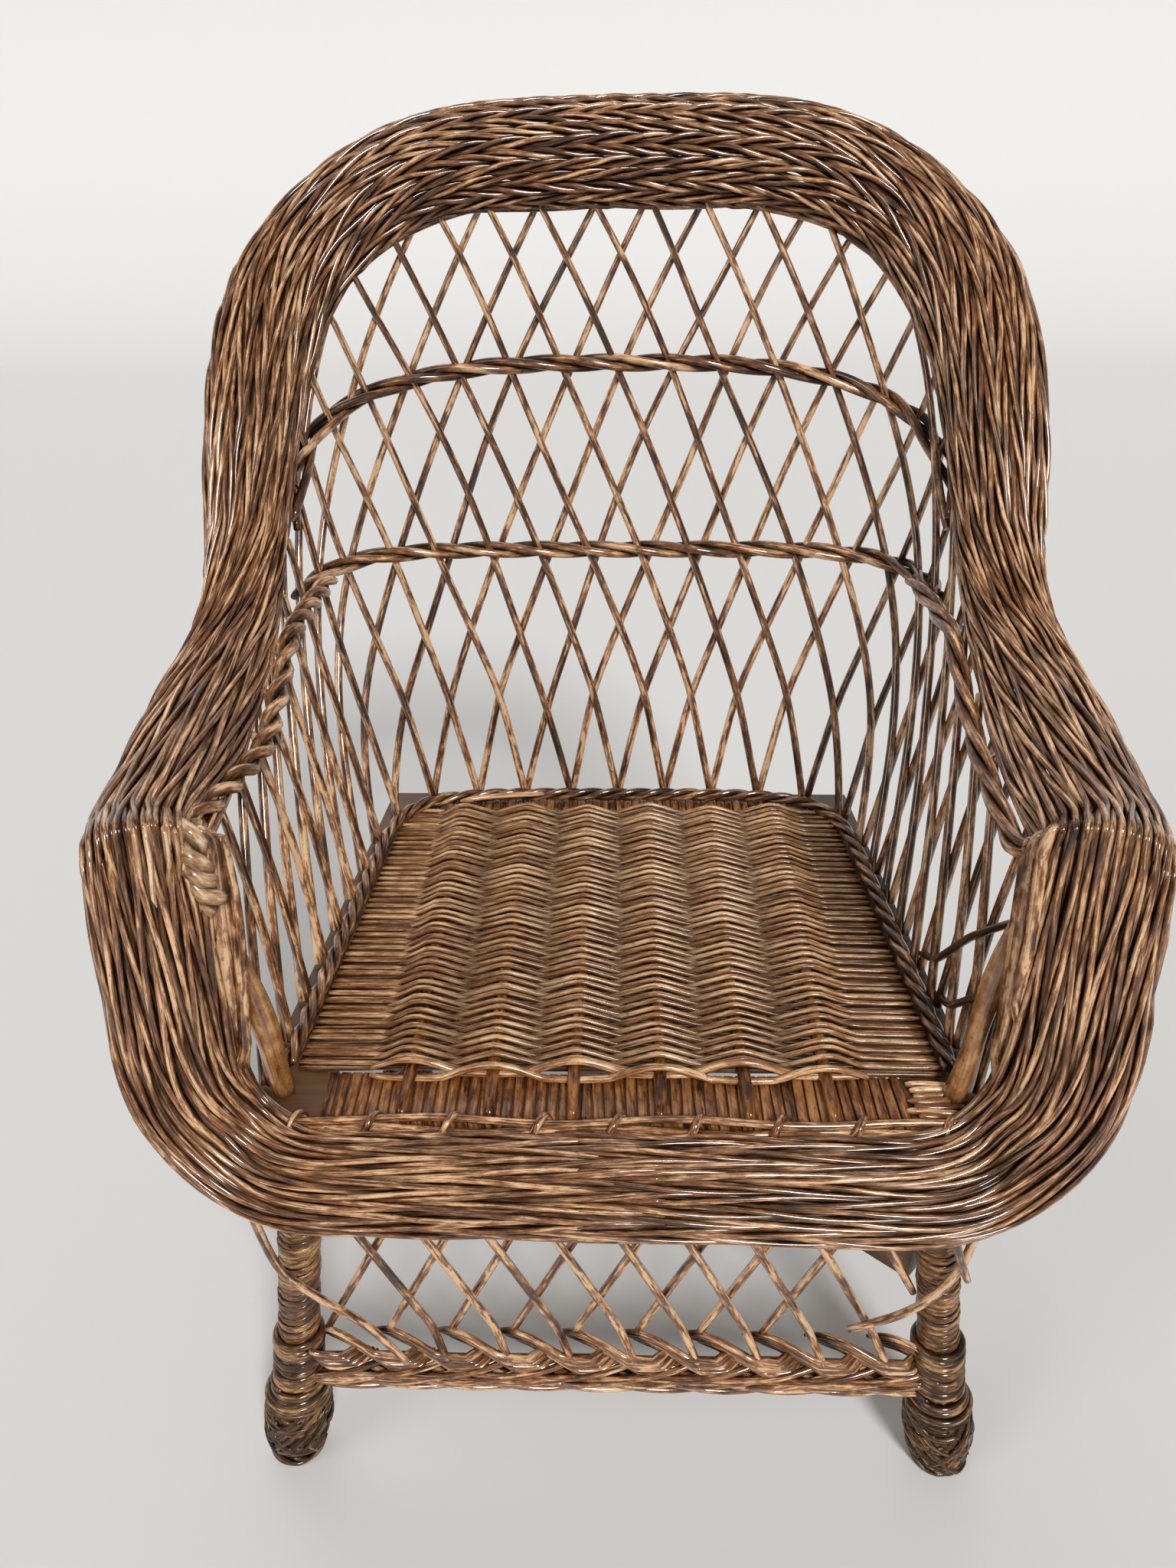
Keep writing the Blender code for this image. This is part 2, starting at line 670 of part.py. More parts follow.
plait_top = PLAIT_LEVEL + PLAIT_HEIGHT / 2
span = on_axis("front_right", PLAIT_LEVEL) - on_axis("front_left", PLAIT_LEVEL)
off = span.normalized() * (LEG_RADIUS + 0.0005)
rings = []
for k in range(PLAIT_STEPS + 1):
    swell = 1.0 if k % 2 else 0.86
    ring = []
    for n in range(8):
        turn = math.tau * (n + 0.5) / 8
        level = PLAIT_LEVEL + PLAIT_HEIGHT / 2 * math.sin(turn) / math.sin(math.pi * 3 / 8)
        near = on_axis("front_left", level) + off
        spot = near.lerp(on_axis("front_right", level) - off, k / PLAIT_STEPS)
        ring.append(spot + Vector((0, PLAIT_DEPTH / 2 * swell * math.cos(turn), 0)))
    rings.append(ring)
loft("skirt_plait", rings, WILLOW)


def skirt_rod(name, x, slope, layer):
    """A straight rod of the skirt, stopped short of the legs, the rail and the plait."""
    tip = ROD_WIDTH / 2 * math.sin(math.atan(abs(slope)))
    low = plait_top + GAP + tip
    high = bottom - 2 * GAP - BINDING_THICKNESS - tip
    keep = LEG_RADIUS + WINDING_THICKNESS + ROD_WIDTH / 2 + 4 * GAP
    inside = []
    for k in range(61):
        z = low + (high - low) * k / 60
        across = x + slope * (SKIRT_LEVEL - z)
        if abs(across) < on_axis("front_right", z).x - keep:
            spot = on_axis("front_right", z)
            inside.append(Vector((across, spot.y + layer * (ROD_WIDTH / 2 + GAP / 2), z)))
    tube(name, [inside[0], inside[-1]], ROD_WIDTH / 2, WILLOW)


for k in range(SKIRT_FRONT_RODS):
    x = (k - (SKIRT_FRONT_RODS - 1) / 2) * SKIRT_PITCH - SKIRT_OFFSET
    skirt_rod("skirt_front_rod_%d" % (k + 1), x, SKIRT_SLOPE, -1)
for k in range(SKIRT_FRONT_RODS - 1):
    x = (k - SKIRT_FRONT_RODS / 2 + 1) * SKIRT_PITCH + SKIRT_OFFSET
    skirt_rod("skirt_back_rod_%d" % (k + 1), x, -SKIRT_SLOPE, 1)

# Diagonal brace board from the right front leg to the left back leg
near = on_axis("front_right", BRACE_LEVEL)
far = on_axis("back_left", BRACE_LEVEL)
away = (far - near).normalized()
lie = away.cross(UP)
stop = away * (LEG_RADIUS + WINDING_THICKNESS + 0.0040)
rings = []
for spot in (near + stop, far - stop):
    stand = UP * BRACE_WIDTH / 2
    thick = lie * BRACE_THICKNESS / 2
    rings.append([spot - stand - thick, spot - stand + thick, spot + stand + thick, spot + stand - thick])
loft("diagonal_brace", rings, WOOD)

# Centre the chair on its footprint
bpy.context.view_layer.update()
graph = bpy.context.evaluated_depsgraph_get()
ys = []
for piece in chair.objects:
    if piece.type == "EMPTY":
        continue
    shape = piece.evaluated_get(graph)
    mesh = shape.to_mesh()
    ys += [(shape.matrix_world @ v.co).y for v in mesh.vertices]
    shape.to_mesh_clear()
root.location.y = -(min(ys) + max(ys)) / 2
print("front and back of the chair while building", round(min(ys), 4), round(max(ys), 4))
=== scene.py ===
"""Looks of the wicker armchair: its rods, ropes, wraps and weave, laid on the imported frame.

Metres, +Z up, the front of the chair towards -Y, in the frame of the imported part.
"""
import math
import random

import bmesh
import bpy
import numpy as np
from mathutils import Matrix, Vector


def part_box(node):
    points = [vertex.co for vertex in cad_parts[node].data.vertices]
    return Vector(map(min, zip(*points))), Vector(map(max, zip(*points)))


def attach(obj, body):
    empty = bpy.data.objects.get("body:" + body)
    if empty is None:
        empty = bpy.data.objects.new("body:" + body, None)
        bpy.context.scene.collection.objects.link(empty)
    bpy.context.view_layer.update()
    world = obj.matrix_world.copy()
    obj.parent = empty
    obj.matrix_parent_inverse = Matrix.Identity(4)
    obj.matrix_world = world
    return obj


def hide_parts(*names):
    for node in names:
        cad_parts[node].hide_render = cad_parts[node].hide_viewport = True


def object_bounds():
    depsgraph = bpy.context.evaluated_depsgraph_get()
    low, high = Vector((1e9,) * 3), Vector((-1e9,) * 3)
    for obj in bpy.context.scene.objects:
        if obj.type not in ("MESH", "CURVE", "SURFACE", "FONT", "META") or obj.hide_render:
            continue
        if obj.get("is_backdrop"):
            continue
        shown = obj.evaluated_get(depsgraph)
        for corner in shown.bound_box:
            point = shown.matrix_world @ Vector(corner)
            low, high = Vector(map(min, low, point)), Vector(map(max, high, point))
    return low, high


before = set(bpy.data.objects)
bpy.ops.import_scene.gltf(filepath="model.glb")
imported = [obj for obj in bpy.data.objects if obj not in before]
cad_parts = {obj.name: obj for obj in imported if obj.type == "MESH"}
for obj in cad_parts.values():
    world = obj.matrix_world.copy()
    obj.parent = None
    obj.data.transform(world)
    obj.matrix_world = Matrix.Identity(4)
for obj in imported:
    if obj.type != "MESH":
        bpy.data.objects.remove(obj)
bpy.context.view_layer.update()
dice = random.Random(41)

# Sizes of the frame that the rods follow
rail_low, rail_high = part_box("front_seat_rail")
_, back_rail_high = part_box("back_seat_rail")
FRONT_Y = rail_low.y
RAIL_TOP = rail_high.z
RAIL_BOTTOM = rail_low.z
RAIL_WIDTH = rail_high.y - rail_low.y
SEAT_FRONT_HALF = rail_high.x
SEAT_BACK_HALF = 0.223
FRAME_DEPTH = back_rail_high.y - rail_low.y
WALL_DEPTH = 0.440
WALL_FRONT_HALF = 0.242
WALL_BACK_HALF = 0.215
WALL_FULL_HALF = 0.262
FRONT_FLARE = 0.10
FLARE_RISE = 0.30
BACK_LEAN = 0.126
CORNER_START = 0.60
CORNER_POWER = 4.8
ROD_PITCH = 0.0455
LATTICE_ROWS = 9
SIDE_COLUMNS = 26
BACK_COLUMNS = 9
CROWN_HEIGHT = 0.924
ARM_HEIGHT = 0.574
SHOULDER_REACH = 0.325
SHOULDER_POWER = 4.8
ARM_FRONT = 0.046
CROWN_TILT = math.radians(16)
ARM_TILT = math.radians(86)
ROLL_HALF = 0.040
PILLAR_HALF = 0.037
APRON_HALF = 0.0315
ROLL_LEAN = 0.03
ROLL_SHAPE = 0.78
WAIST_AT = 0.41
WAIST_SPREAD = 0.075
WAIST_NARROWING = 0.30
APRON_FRONT = -0.0085
APRON_HEIGHT = 0.394
FRONT_CORNER = 0.055
LOWER_BAND = 0.643
UPPER_BAND = 0.802
UPPER_BAND_DIP = 0.055
STAKE_COUNT = 6
STAKE_PITCH = 0.0577
STAKE_RADIUS = 0.0042
PLAIT_LEVEL = 0.117
LEG_TOP = 0.3797
LEG_RADIUS = 0.013
LEG_TURNS = 34
TURN_POINTS = 16
CUFF_RODS = 12
CUFF_LOW = 0.0725
CUFF_STEP = 0.0061
FOOT_HEIGHT = 0.086
FOOT_RODS = 130
SKIRT_PITCH = 0.0493
SKIRT_SHIFT = 0.012
SKIRT_SLOPE = 0.50
SKIRT_MIDDLE = 0.280

# Foot and head of a leg: how far from the middle, and how far behind the front of the seat
LEG_SPOTS = {"front": ((0.270, 0.030), (0.224, 0.038)), "back": ((0.243, 0.448), (0.197, 0.418))}
LEGS = [(end, side) for end in ("front", "back") for side in ("left", "right")]


def wander(spread):
    return dice.uniform(-spread, spread)


def link(name, data):
    """Put new data into the scene as an object."""
    made = bpy.data.objects.new(name, data)
    bpy.context.scene.collection.objects.link(made)
    return made


def unit(rows):
    return rows / np.linalg.norm(rows, axis=-1, keepdims=True)


# Materials

def fill(made, inputs):
    """Set a node's inputs, each to a number, a colour or another node's socket."""
    for key, value in inputs.items():
        if isinstance(value, bpy.types.NodeSocket):
            made.id_data.links.new(value, made.inputs[key])
        else:
            made.inputs[key].default_value = value


def node(tree, kind, inputs=None, **settings):
    """Add a shader node."""
    made = tree.nodes.new("ShaderNode" + kind)
    for key, value in settings.items():
        setattr(made, key, value)
    fill(made, inputs or {})
    return made


def maths(tree, way, a, b):
    return node(tree, "Math", {0: a, 1: b}, operation=way).outputs[0]


def map_range(tree, value, low, high, new_low, new_high):
    """Turn values between two marks into values between two others."""
    return node(tree, "MapRange", {"Value": value, "From Min": low, "From Max": high,
                                   "To Min": new_low, "To Max": new_high}).outputs[0]


def ramp(tree, factor, places, shades):
    """A colour ramp with one shade at each place."""
    made = node(tree, "ValToRGB", {"Fac": factor})
    line = made.color_ramp
    while len(line.elements) < len(places):
        line.elements.new(0.5)
    for stop, place, shade in zip(line.elements, places, shades):
        stop.position = place
        stop.color = (*shade, 1)
    return made.outputs["Color"]


def fresh_material(name):
    skin = bpy.data.materials.new(name)
    skin.use_nodes = True
    tree = skin.node_tree
    return skin, tree, tree.nodes["Principled BSDF"]


WILLOW_STOPS = (0.14, 0.36, 0.58, 0.82)
BOARD_STOPS = (0.22, 0.50, 0.80)


def willow(name, shades, contrast=1.0, fleck=0.55, gloss=0.30, coat=1.0, centre_wear=0.0):
    """Varnished willow: streaks, blotches and flecks that follow each rod, with painted shade where it
    dives and on its sides turned away from its open side.
    """
    skin, tree, shader = fresh_material(name)
    grain = node(tree, "Attribute", attribute_name="grain").outputs["Vector"]
    tone = node(tree, "Attribute", attribute_name="tone").outputs["Fac"]
    painted_shade = node(tree, "Attribute", attribute_name="painted_shade").outputs["Fac"]
    seed = maths(tree, "MULTIPLY", tone, 61.7)

    def noise(stretch, offset, detail):
        spread = node(tree, "VectorMath", {0: grain, 1: stretch}, operation="MULTIPLY").outputs[0]
        shift = maths(tree, "ADD", seed, offset)
        made = node(tree, "TexNoise", {"Vector": spread, "W": shift, "Scale": 1.0, "Detail": detail,
                                       "Roughness": 0.62}, noise_dimensions="4D")
        return made.outputs["Fac"]

    blotch = noise((24, 0.8, 0.8), 0.0, 2.0)
    mottle = noise((85, 1.3, 1.3), 5.0, 3.0)
    streak = noise((6, 3.4, 3.4), 9.0, 2.0)
    spots = noise((210, 1.8, 1.8), 3.0, 1.0)
    level = maths(tree, "ADD", maths(tree, "MULTIPLY", tone, 0.34), 0.33)
    for part, weight in ((blotch, 1.7 * contrast), (mottle, 1.4 * contrast), (streak, 0.9)):
        uneven = maths(tree, "MULTIPLY", maths(tree, "SUBTRACT", part, 0.5), weight)
        level = maths(tree, "ADD", level, uneven)
    if centre_wear:
        place = node(tree, "TexCoord").outputs["Object"]
        across = node(tree, "SeparateXYZ", {0: place}).outputs["X"]
        away = maths(tree, "ABSOLUTE", across, 0.0)
        level = maths(tree, "ADD", level, map_range(tree, away, 0.125, 0.185, centre_wear, 0.03))
    colour = ramp(tree, level, WILLOW_STOPS, shades)
    flecks_and_shade = map_range(tree, spots, 0.60, 0.72, 1.0, 1 - fleck)
    # Painted shade: darken the base colour, with the flecks, where rods dive under others and on their
    # sides turned away from their open side
    shadow = maths(tree, "SUBTRACT", 1.0, maths(tree, "MULTIPLY", painted_shade, 0.94))
    flecks_and_shade = maths(tree, "MULTIPLY", flecks_and_shade, shadow)
    painted = node(tree, "MixRGB", {"Fac": 1.0, "Color1": colour, "Color2": flecks_and_shade}, blend_type="MULTIPLY")
    rough = map_range(tree, streak, 0.3, 0.7, gloss, gloss + 0.20)
    height = maths(tree, "MULTIPLY", streak, 0.6)
    height = maths(tree, "ADD", height, maths(tree, "MULTIPLY", spots, 0.25))
    bump = node(tree, "Bump", {"Height": height, "Strength": 0.45, "Distance": 0.0007})
    # The painted shade also thins the coat, dimming reflections there
    varnish = maths(tree, "MULTIPLY", maths(tree, "SUBTRACT", 1.0, painted_shade), coat)
    fill(shader, {"Base Color": painted.outputs[0], "Roughness": rough, "Normal": bump.outputs[0],
                  "Coat Weight": varnish, "Coat Roughness": 0.11, "Coat IOR": 1.7,
                  "Specular IOR Level": 0.22, "Specular Tint": (1.0, 0.82, 0.62, 1)})
    return skin


def board(name, shades, along):
    """Sawn wood with long grain on Object coordinates; along is the stretch of the grain."""
    skin, tree, shader = fresh_material(name)
    place = node(tree, "TexCoord").outputs["Object"]
    spread = node(tree, "VectorMath", {0: place, 1: along}, operation="MULTIPLY").outputs[0]
    lines = node(tree, "TexNoise", {"Vector": spread, "Scale": 1.0, "Detail": 5.0, "Roughness": 0.65,
                                    "Distortion": 0.5}).outputs["Fac"]
    stain = node(tree, "TexNoise", {"Vector": place, "Scale": 14.0, "Detail": 3.0}).outputs["Fac"]
    level = maths(tree, "MULTIPLY", lines, 0.75)
    level = maths(tree, "ADD", level, maths(tree, "MULTIPLY", stain, 0.45))
    level = maths(tree, "SUBTRACT", level, 0.10)
    colour = ramp(tree, level, BOARD_STOPS, shades)
    rough = map_range(tree, lines, 0.0, 1.0, 0.35, 0.60)
    bump = node(tree, "Bump", {"Height": lines, "Strength": 0.35, "Distance": 0.0008})
    fill(shader, {"Base Color": colour, "Roughness": rough, "Normal": bump.outputs[0],
                  "Coat Weight": 0.15, "Coat Roughness": 0.30})
    return skin


BROWN = ((0.028, 0.010, 0.004), (0.132, 0.047, 0.016), (0.305, 0.125, 0.044), (0.75, 0.46, 0.25))
LEG_BROWN = ((0.014, 0.005, 0.002), (0.082, 0.030, 0.009), (0.190, 0.079, 0.024), (0.47, 0.265, 0.110))
POST_BROWN = ((0.050, 0.020, 0.007), (0.180, 0.072, 0.023), (0.35, 0.158, 0.054), (0.60, 0.35, 0.16))
DARK_BROWN = ((0.010, 0.004, 0.002), (0.046, 0.018, 0.006), (0.125, 0.052, 0.017), (0.40, 0.22, 0.09))
MOTTLED = ((0.032, 0.012, 0.005), (0.128, 0.049, 0.017), (0.305, 0.132, 0.050), (0.69, 0.43, 0.23))
HONEY = ((0.026, 0.009, 0.004), (0.155, 0.057, 0.020), (0.37, 0.163, 0.061), (0.78, 0.50, 0.27))
RED_CANE = ((0.030, 0.009, 0.002), (0.128, 0.041, 0.010), (0.225, 0.080, 0.020), (0.37, 0.165, 0.052))
LIGHT_TWIST = ((0.085, 0.036, 0.014), (0.24, 0.118, 0.048), (0.46, 0.260, 0.122), (0.78, 0.57, 0.37))
RAIL_BROWN = ((0.028, 0.011, 0.004), (0.092, 0.039, 0.013), (0.18, 0.085, 0.031))
SIDE_RAIL_BROWN = ((0.028, 0.011, 0.004), (0.088, 0.038, 0.013), (0.17, 0.080, 0.029))
STICK_BROWN = ((0.030, 0.014, 0.006), (0.10, 0.048, 0.019), (0.19, 0.098, 0.042))
BRACE_BROWN = ((0.040, 0.020, 0.010), (0.13, 0.068, 0.030), (0.25, 0.145, 0.068))

roll_willow = willow("roll_willow", BROWN)
lattice_willow = willow("lattice_willow", MOTTLED, contrast=1.35)
rope_willow = willow("rope_willow", BROWN, gloss=0.28)
seat_willow = willow("seat_willow", HONEY, contrast=0.65, coat=0.55, centre_wear=0.08)
wrap_cane = willow("wrap_cane", RED_CANE, fleck=0.4, gloss=0.34, coat=0.4)
leg_wrap = willow("leg_wrap", LEG_BROWN, contrast=0.85, gloss=0.32, coat=0.5)
foot_willow = willow("foot_willow", DARK_BROWN, gloss=0.34, coat=0.5)
post_bark = willow("post_bark", POST_BROWN, contrast=0.7, fleck=0.45, gloss=0.36)
knot_willow = willow("knot_willow", LIGHT_TWIST, contrast=0.8, fleck=0.3, gloss=0.34)
rail_wood = board("rail_wood", RAIL_BROWN, (9, 90, 90))
side_rail_wood = board("side_rail_wood", SIDE_RAIL_BROWN, (90, 9, 90))
leg_wood = board("leg_wood", STICK_BROWN, (90, 90, 9))
brace_wood = board("brace_wood", BRACE_BROWN, (14, 14, 70))


# Rods and strips

def lengths(points):
    """Running length of a path at each of its points."""
    return np.append(0, np.cumsum(np.linalg.norm(np.diff(points, axis=0), axis=1)))


def shaped(points, radii, tone=None, painted_shade=0.0, face=(0, 0, 0)):
    """Points, radii, tone, running length, painted shade and open side of one rod; the sides turned away
    from the open side get more painted shade.
    """
    points = np.asarray(points, float)
    full = np.ones(len(points))
    shade = dice.random() if tone is None else tone
    faces = face * np.ones((len(points), 3))
    return points, radii * full, shade * full, lengths(points), painted_shade * full, faces


def strand(points, radius, tone=None, tip=0.55, tip_share=0.12, painted_shade=0.0, face=(0, 0, 0)):
    """A rod that thins towards both ends."""
    run = lengths(np.asarray(points, float))
    share = run / run[-1]
    end = np.minimum(share, 1 - share) / tip_share
    radii = radius * (tip + (1 - tip) * np.clip(end, 0, 1) ** 0.6)
    return shaped(points, radii, tone, painted_shade, face)


def rods(name, strands, skin, sides=8, flat=0.0):
    """One piece made of many rods; flat widens them to strips along the upright."""
    path = bpy.data.curves.new(name, "CURVE")
    path.dimensions = "3D"
    path.bevel_depth = 0.001
    path.bevel_resolution = (sides - 4) // 2 if not flat else 1
    path.extrude = flat * 0.001
    path.twist_mode = "Z_UP" if flat else "MINIMUM"
    for points, radii, *_ in strands:
        line = path.splines.new("POLY")
        line.points.add(len(points) - 1)
        spots = np.ones((len(points), 4), np.float32)
        spots[:, :3] = points
        line.points.foreach_set("co", spots.ravel())
        line.points.foreach_set("radius", (np.asarray(radii) * 1000).astype(np.float32))
    guide = link(name + "_guide", path)
    graph = bpy.context.evaluated_depsgraph_get()
    mesh = bpy.data.meshes.new_from_object(guide.evaluated_get(graph))
    bpy.data.objects.remove(guide)
    bpy.data.curves.remove(path)
    total = len(mesh.vertices)
    ring = total // sum(len(made[0]) for made in strands)
    places = np.empty(total * 3, np.float32)
    mesh.vertices.foreach_get("co", places)
    places = places.reshape(-1, 3)
    grain = np.zeros((total, 3), np.float32)
    shade = np.zeros(total, np.float32)
    depth = np.zeros(total, np.float32)
    at = 0
    for points, radii, tone, run, painted_shade, face in strands:
        here = slice(at, at + ring * len(points))
        grain[here, 0] = np.repeat(run, ring)
        off = (places[here] - np.repeat(points, ring, axis=0)) / np.repeat(radii, ring)[:, None]
        grain[here, 1] = off[:, 0]
        grain[here, 2] = 0.6 * off[:, 1] + 0.8 * off[:, 2] / (1 + flat)
        shade[here] = np.repeat(tone, ring)
        open_side = np.repeat(face, ring, axis=0)
        # Painted shade on the sides of each rod turned away from its open side, added to the painted
        # shade given for the rod
        side_shade = np.clip(0.62 - np.sum(off * open_side, 1), 0, 1) * np.sum(open_side ** 2, 1)
        depth[here] = 1 - (1 - np.repeat(painted_shade, ring)) * (1 - 0.92 * side_shade)
        at += ring * len(points)
    mesh.attributes.new("grain", "FLOAT_VECTOR", "POINT").data.foreach_set("vector", grain.ravel())
    mesh.attributes.new("tone", "FLOAT", "POINT").data.foreach_set("value", shade)
    mesh.attributes.new("painted_shade", "FLOAT", "POINT").data.foreach_set("value", depth)
    bm = bmesh.new()
    bm.from_mesh(mesh)
    caps = bmesh.ops.holes_fill(bm, edges=[e for e in bm.edges if e.is_boundary], sides=0)["faces"]
    for cap in caps:
        cap.smooth = False
    bmesh.ops.recalc_face_normals(bm, faces=bm.faces)
    bm.to_mesh(mesh)
    bm.free()
    mesh.name = name
    mesh.materials.clear()
    mesh.materials.append(skin)
    return link(name, mesh)


def dress(piece, slot, *nodes):
    """Attach a finished piece to the chair's root and hide the nodes that it stands for."""
    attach(piece, "root")
    if nodes:
        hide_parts(*nodes)


def smooth_path(points, passes):
    """A path with its corners rounded off."""
    points = np.array(points, float)
    for _ in range(passes):
        points[1:-1] = points[1:-1] * 0.5 + (points[:-2] + points[2:]) * 0.25
    return points


def dense(points, step):
    """The same path with evenly spaced points."""
    points = np.asarray(points, float)
    run = lengths(points)
    spots = np.linspace(0, run[-1], max(3, int(run[-1] / step) + 1))
    return np.stack([np.interp(spots, run, points[:, k]) for k in range(3)], -1)


def bent(bends, step, passes):
    """A smooth path through bends whose depths are counted from the front of the seat."""
    return smooth_path(dense(np.array(bends) + (0, FRONT_Y, 0), step), passes)


def seat_points(x, y, z):
    """Points at depths y behind the front of the seat."""
    return np.stack(np.broadcast_arrays(x, y + FRONT_Y, z), -1)


def rope(points, count, coil, radius, pitch, tone=None):
    """Strands twisted about a path."""
    points = dense(points, 0.005)
    ahead = unit(np.gradient(points, axis=0))
    side = unit(np.cross(ahead, (0.0, 0.0, 1.0)))
    above = np.cross(side, ahead)
    run = lengths(points)
    made = []
    for k in range(count):
        turn = (run / pitch + k / count) * math.tau
        swing = side * (coil * np.cos(turn))[:, None]
        path = points + swing + above * (coil * np.sin(turn))[:, None]
        # Painted shade on the side of each strand turned into the rope
        made.append(strand(path, radius, tone, tip=0.8, tip_share=0.03, face=unit(path - points)))
    return made


# The wall of crossed rods

WALL_Z = np.linspace(RAIL_TOP - 0.02, CROWN_HEIGHT + 0.04, 130)
WALL_S = np.linspace(0.0, 0.80, 321)
NUDGE = 0.004


def wall_outline(z):
    """Right half of the wall at a height, by running length from mid-back."""
    rise = z - RAIL_TOP
    depth = WALL_DEPTH + BACK_LEAN * rise
    front = WALL_FRONT_HALF + FRONT_FLARE * rise
    still = max(0.0, 1 - rise / FLARE_RISE) ** 2
    back = WALL_FULL_HALF - (WALL_FULL_HALF - WALL_BACK_HALF) * still
    start = CORNER_START * depth
    turn = np.linspace(0, math.pi / 2, 61)
    y = start + (depth - start) * np.abs(np.cos(turn)) ** (2 / CORNER_POWER)
    x = (front + (back - front) * y / depth) * np.sin(turn) ** (2 / CORNER_POWER)
    x = np.append(x, front)
    y = np.append(y, 0.0)
    run = np.append(0, np.cumsum(np.hypot(np.diff(x), np.diff(y))))
    return np.interp(WALL_S, run, x), np.interp(WALL_S, run, y) + FRONT_Y


WALL_GRID = np.array([wall_outline(z) for z in WALL_Z])


def wall(s, z):
    """Points of the wall at running lengths s from mid-back and heights z."""
    s, z = np.broadcast_arrays(np.asarray(s, float), np.asarray(z, float))
    a = np.clip(np.abs(s) / (WALL_S[1] - WALL_S[0]), 0, len(WALL_S) - 1.001)
    b = np.clip((z - WALL_Z[0]) / (WALL_Z[1] - WALL_Z[0]), 0, len(WALL_Z) - 1.001)
    i = a.astype(int)
    j = b.astype(int)
    u = a - i
    v = b - j
    parts = []
    for k in (0, 1):
        g = WALL_GRID[:, k]
        parts.append((g[j, i] * (1 - u) + g[j, i + 1] * u) * (1 - v)
                     + (g[j + 1, i] * (1 - u) + g[j + 1, i + 1] * u) * v)
    return np.stack([np.where(s < 0, -parts[0], parts[0]), parts[1], z], -1)


def wall_out(s, z):
    """Directions straight out of the wall."""
    along = wall(np.asarray(s) + NUDGE, z) - wall(np.asarray(s) - NUDGE, z)
    upward = wall(s, np.asarray(z) + NUDGE) - wall(s, np.asarray(z) - NUDGE)
    return unit(np.cross(upward, along))


def rim_drop(s):
    """How far the rim has come down from crown to arm, from 0 to 1."""
    return 1 / (1 + (SHOULDER_REACH / np.maximum(np.abs(s), 1e-6)) ** SHOULDER_POWER)


def rim_height(s):
    return CROWN_HEIGHT - (CROWN_HEIGHT - ARM_HEIGHT) * rim_drop(s)


def row_height(m):
    """Height of a row of crossings, also between rows."""
    m = np.asarray(m, float)
    steps = m - 1
    upper = RAIL_TOP + 0.105 + steps * 0.064 - 0.0032 * steps * (steps - 1) / 2
    return np.where(m < 1, RAIL_TOP + 0.004 + m * 0.101, upper)


front_s = np.linspace(0.3, 0.79, 400)
front_line = wall(front_s, ARM_HEIGHT + 0.01)
RIM_END = float(np.interp(-(ARM_FRONT + FRONT_Y), -front_line[:, 1], front_s))

# Ends of the pillar and of its lower corner, as shares of the front path, and where each part faces
PILLAR_END = 0.34
CORNER_END = 0.62
PILLAR_OUT = np.array((0.90, -0.42, 0.05))
APRON_OUT = np.array((0.0, -0.84, -0.54))


# The roll: frames along the rim and down the front, mirrored for the left

def rim_frames(s):
    """Edge, outward and facing directions and half width of the roll along the rim."""
    edge = wall(s, rim_height(s))
    run = wall(s + NUDGE, rim_height(s + NUDGE)) - wall(s - NUDGE, rim_height(s - NUDGE))
    run = unit(run)
    off = wall_out(s, rim_height(s))
    off = unit(off - run * np.sum(off * run, -1, keepdims=True))
    above = unit(np.cross(run, off))
    tilt = (CROWN_TILT + (ARM_TILT - CROWN_TILT) * rim_drop(s))[:, None]
    out = above * np.cos(tilt) + off * np.sin(tilt)
    full = ROLL_HALF + (PILLAR_HALF - ROLL_HALF) * s / RIM_END
    half = full * (1 - WAIST_NARROWING * np.exp(-((s - WAIST_AT) / WAIST_SPREAD) ** 2))
    return edge, out, np.cross(run, out), half


def front_frames(t):
    """The same for the front: down the pillar, round its corner and along the apron."""
    top = wall(RIM_END, rim_height(RIM_END))
    foot = np.array((SEAT_FRONT_HALF + 0.004, ARM_FRONT * 0.35 + FRONT_Y, APRON_HEIGHT))
    bend = foot + np.array((0, 0, FRONT_CORNER))
    inner = np.array((foot[0] - FRONT_CORNER, APRON_FRONT + FRONT_Y, APRON_HEIGHT))
    middle = np.array((0.0, APRON_FRONT + FRONT_Y, APRON_HEIGHT))

    def path(u):
        u = np.clip(u, 0, 1)[:, None]
        w = np.clip((u - PILLAR_END) / (CORNER_END - PILLAR_END), 0, 1)
        pillar = top + (bend - top) * u / PILLAR_END
        corner = bend * (1 - w) ** 2 + foot * 2 * w * (1 - w) + inner * w * w
        flat = inner + (middle - inner) * (u - CORNER_END) / (1 - CORNER_END)
        return np.where(u < PILLAR_END, pillar, np.where(u < CORNER_END, corner, flat))

    run = unit(path(t + 0.01) - path(t - 0.01))
    share = np.clip((t - 0.30) / 0.34, 0, 1)[:, None]
    out = PILLAR_OUT * (1 - share) + APRON_OUT * share
    out = unit(out - run * np.sum(out * run, -1, keepdims=True))
    half = PILLAR_HALF + (APRON_HALF - PILLAR_HALF) * share[:, 0]
    return path(t), out, np.cross(run, out), half


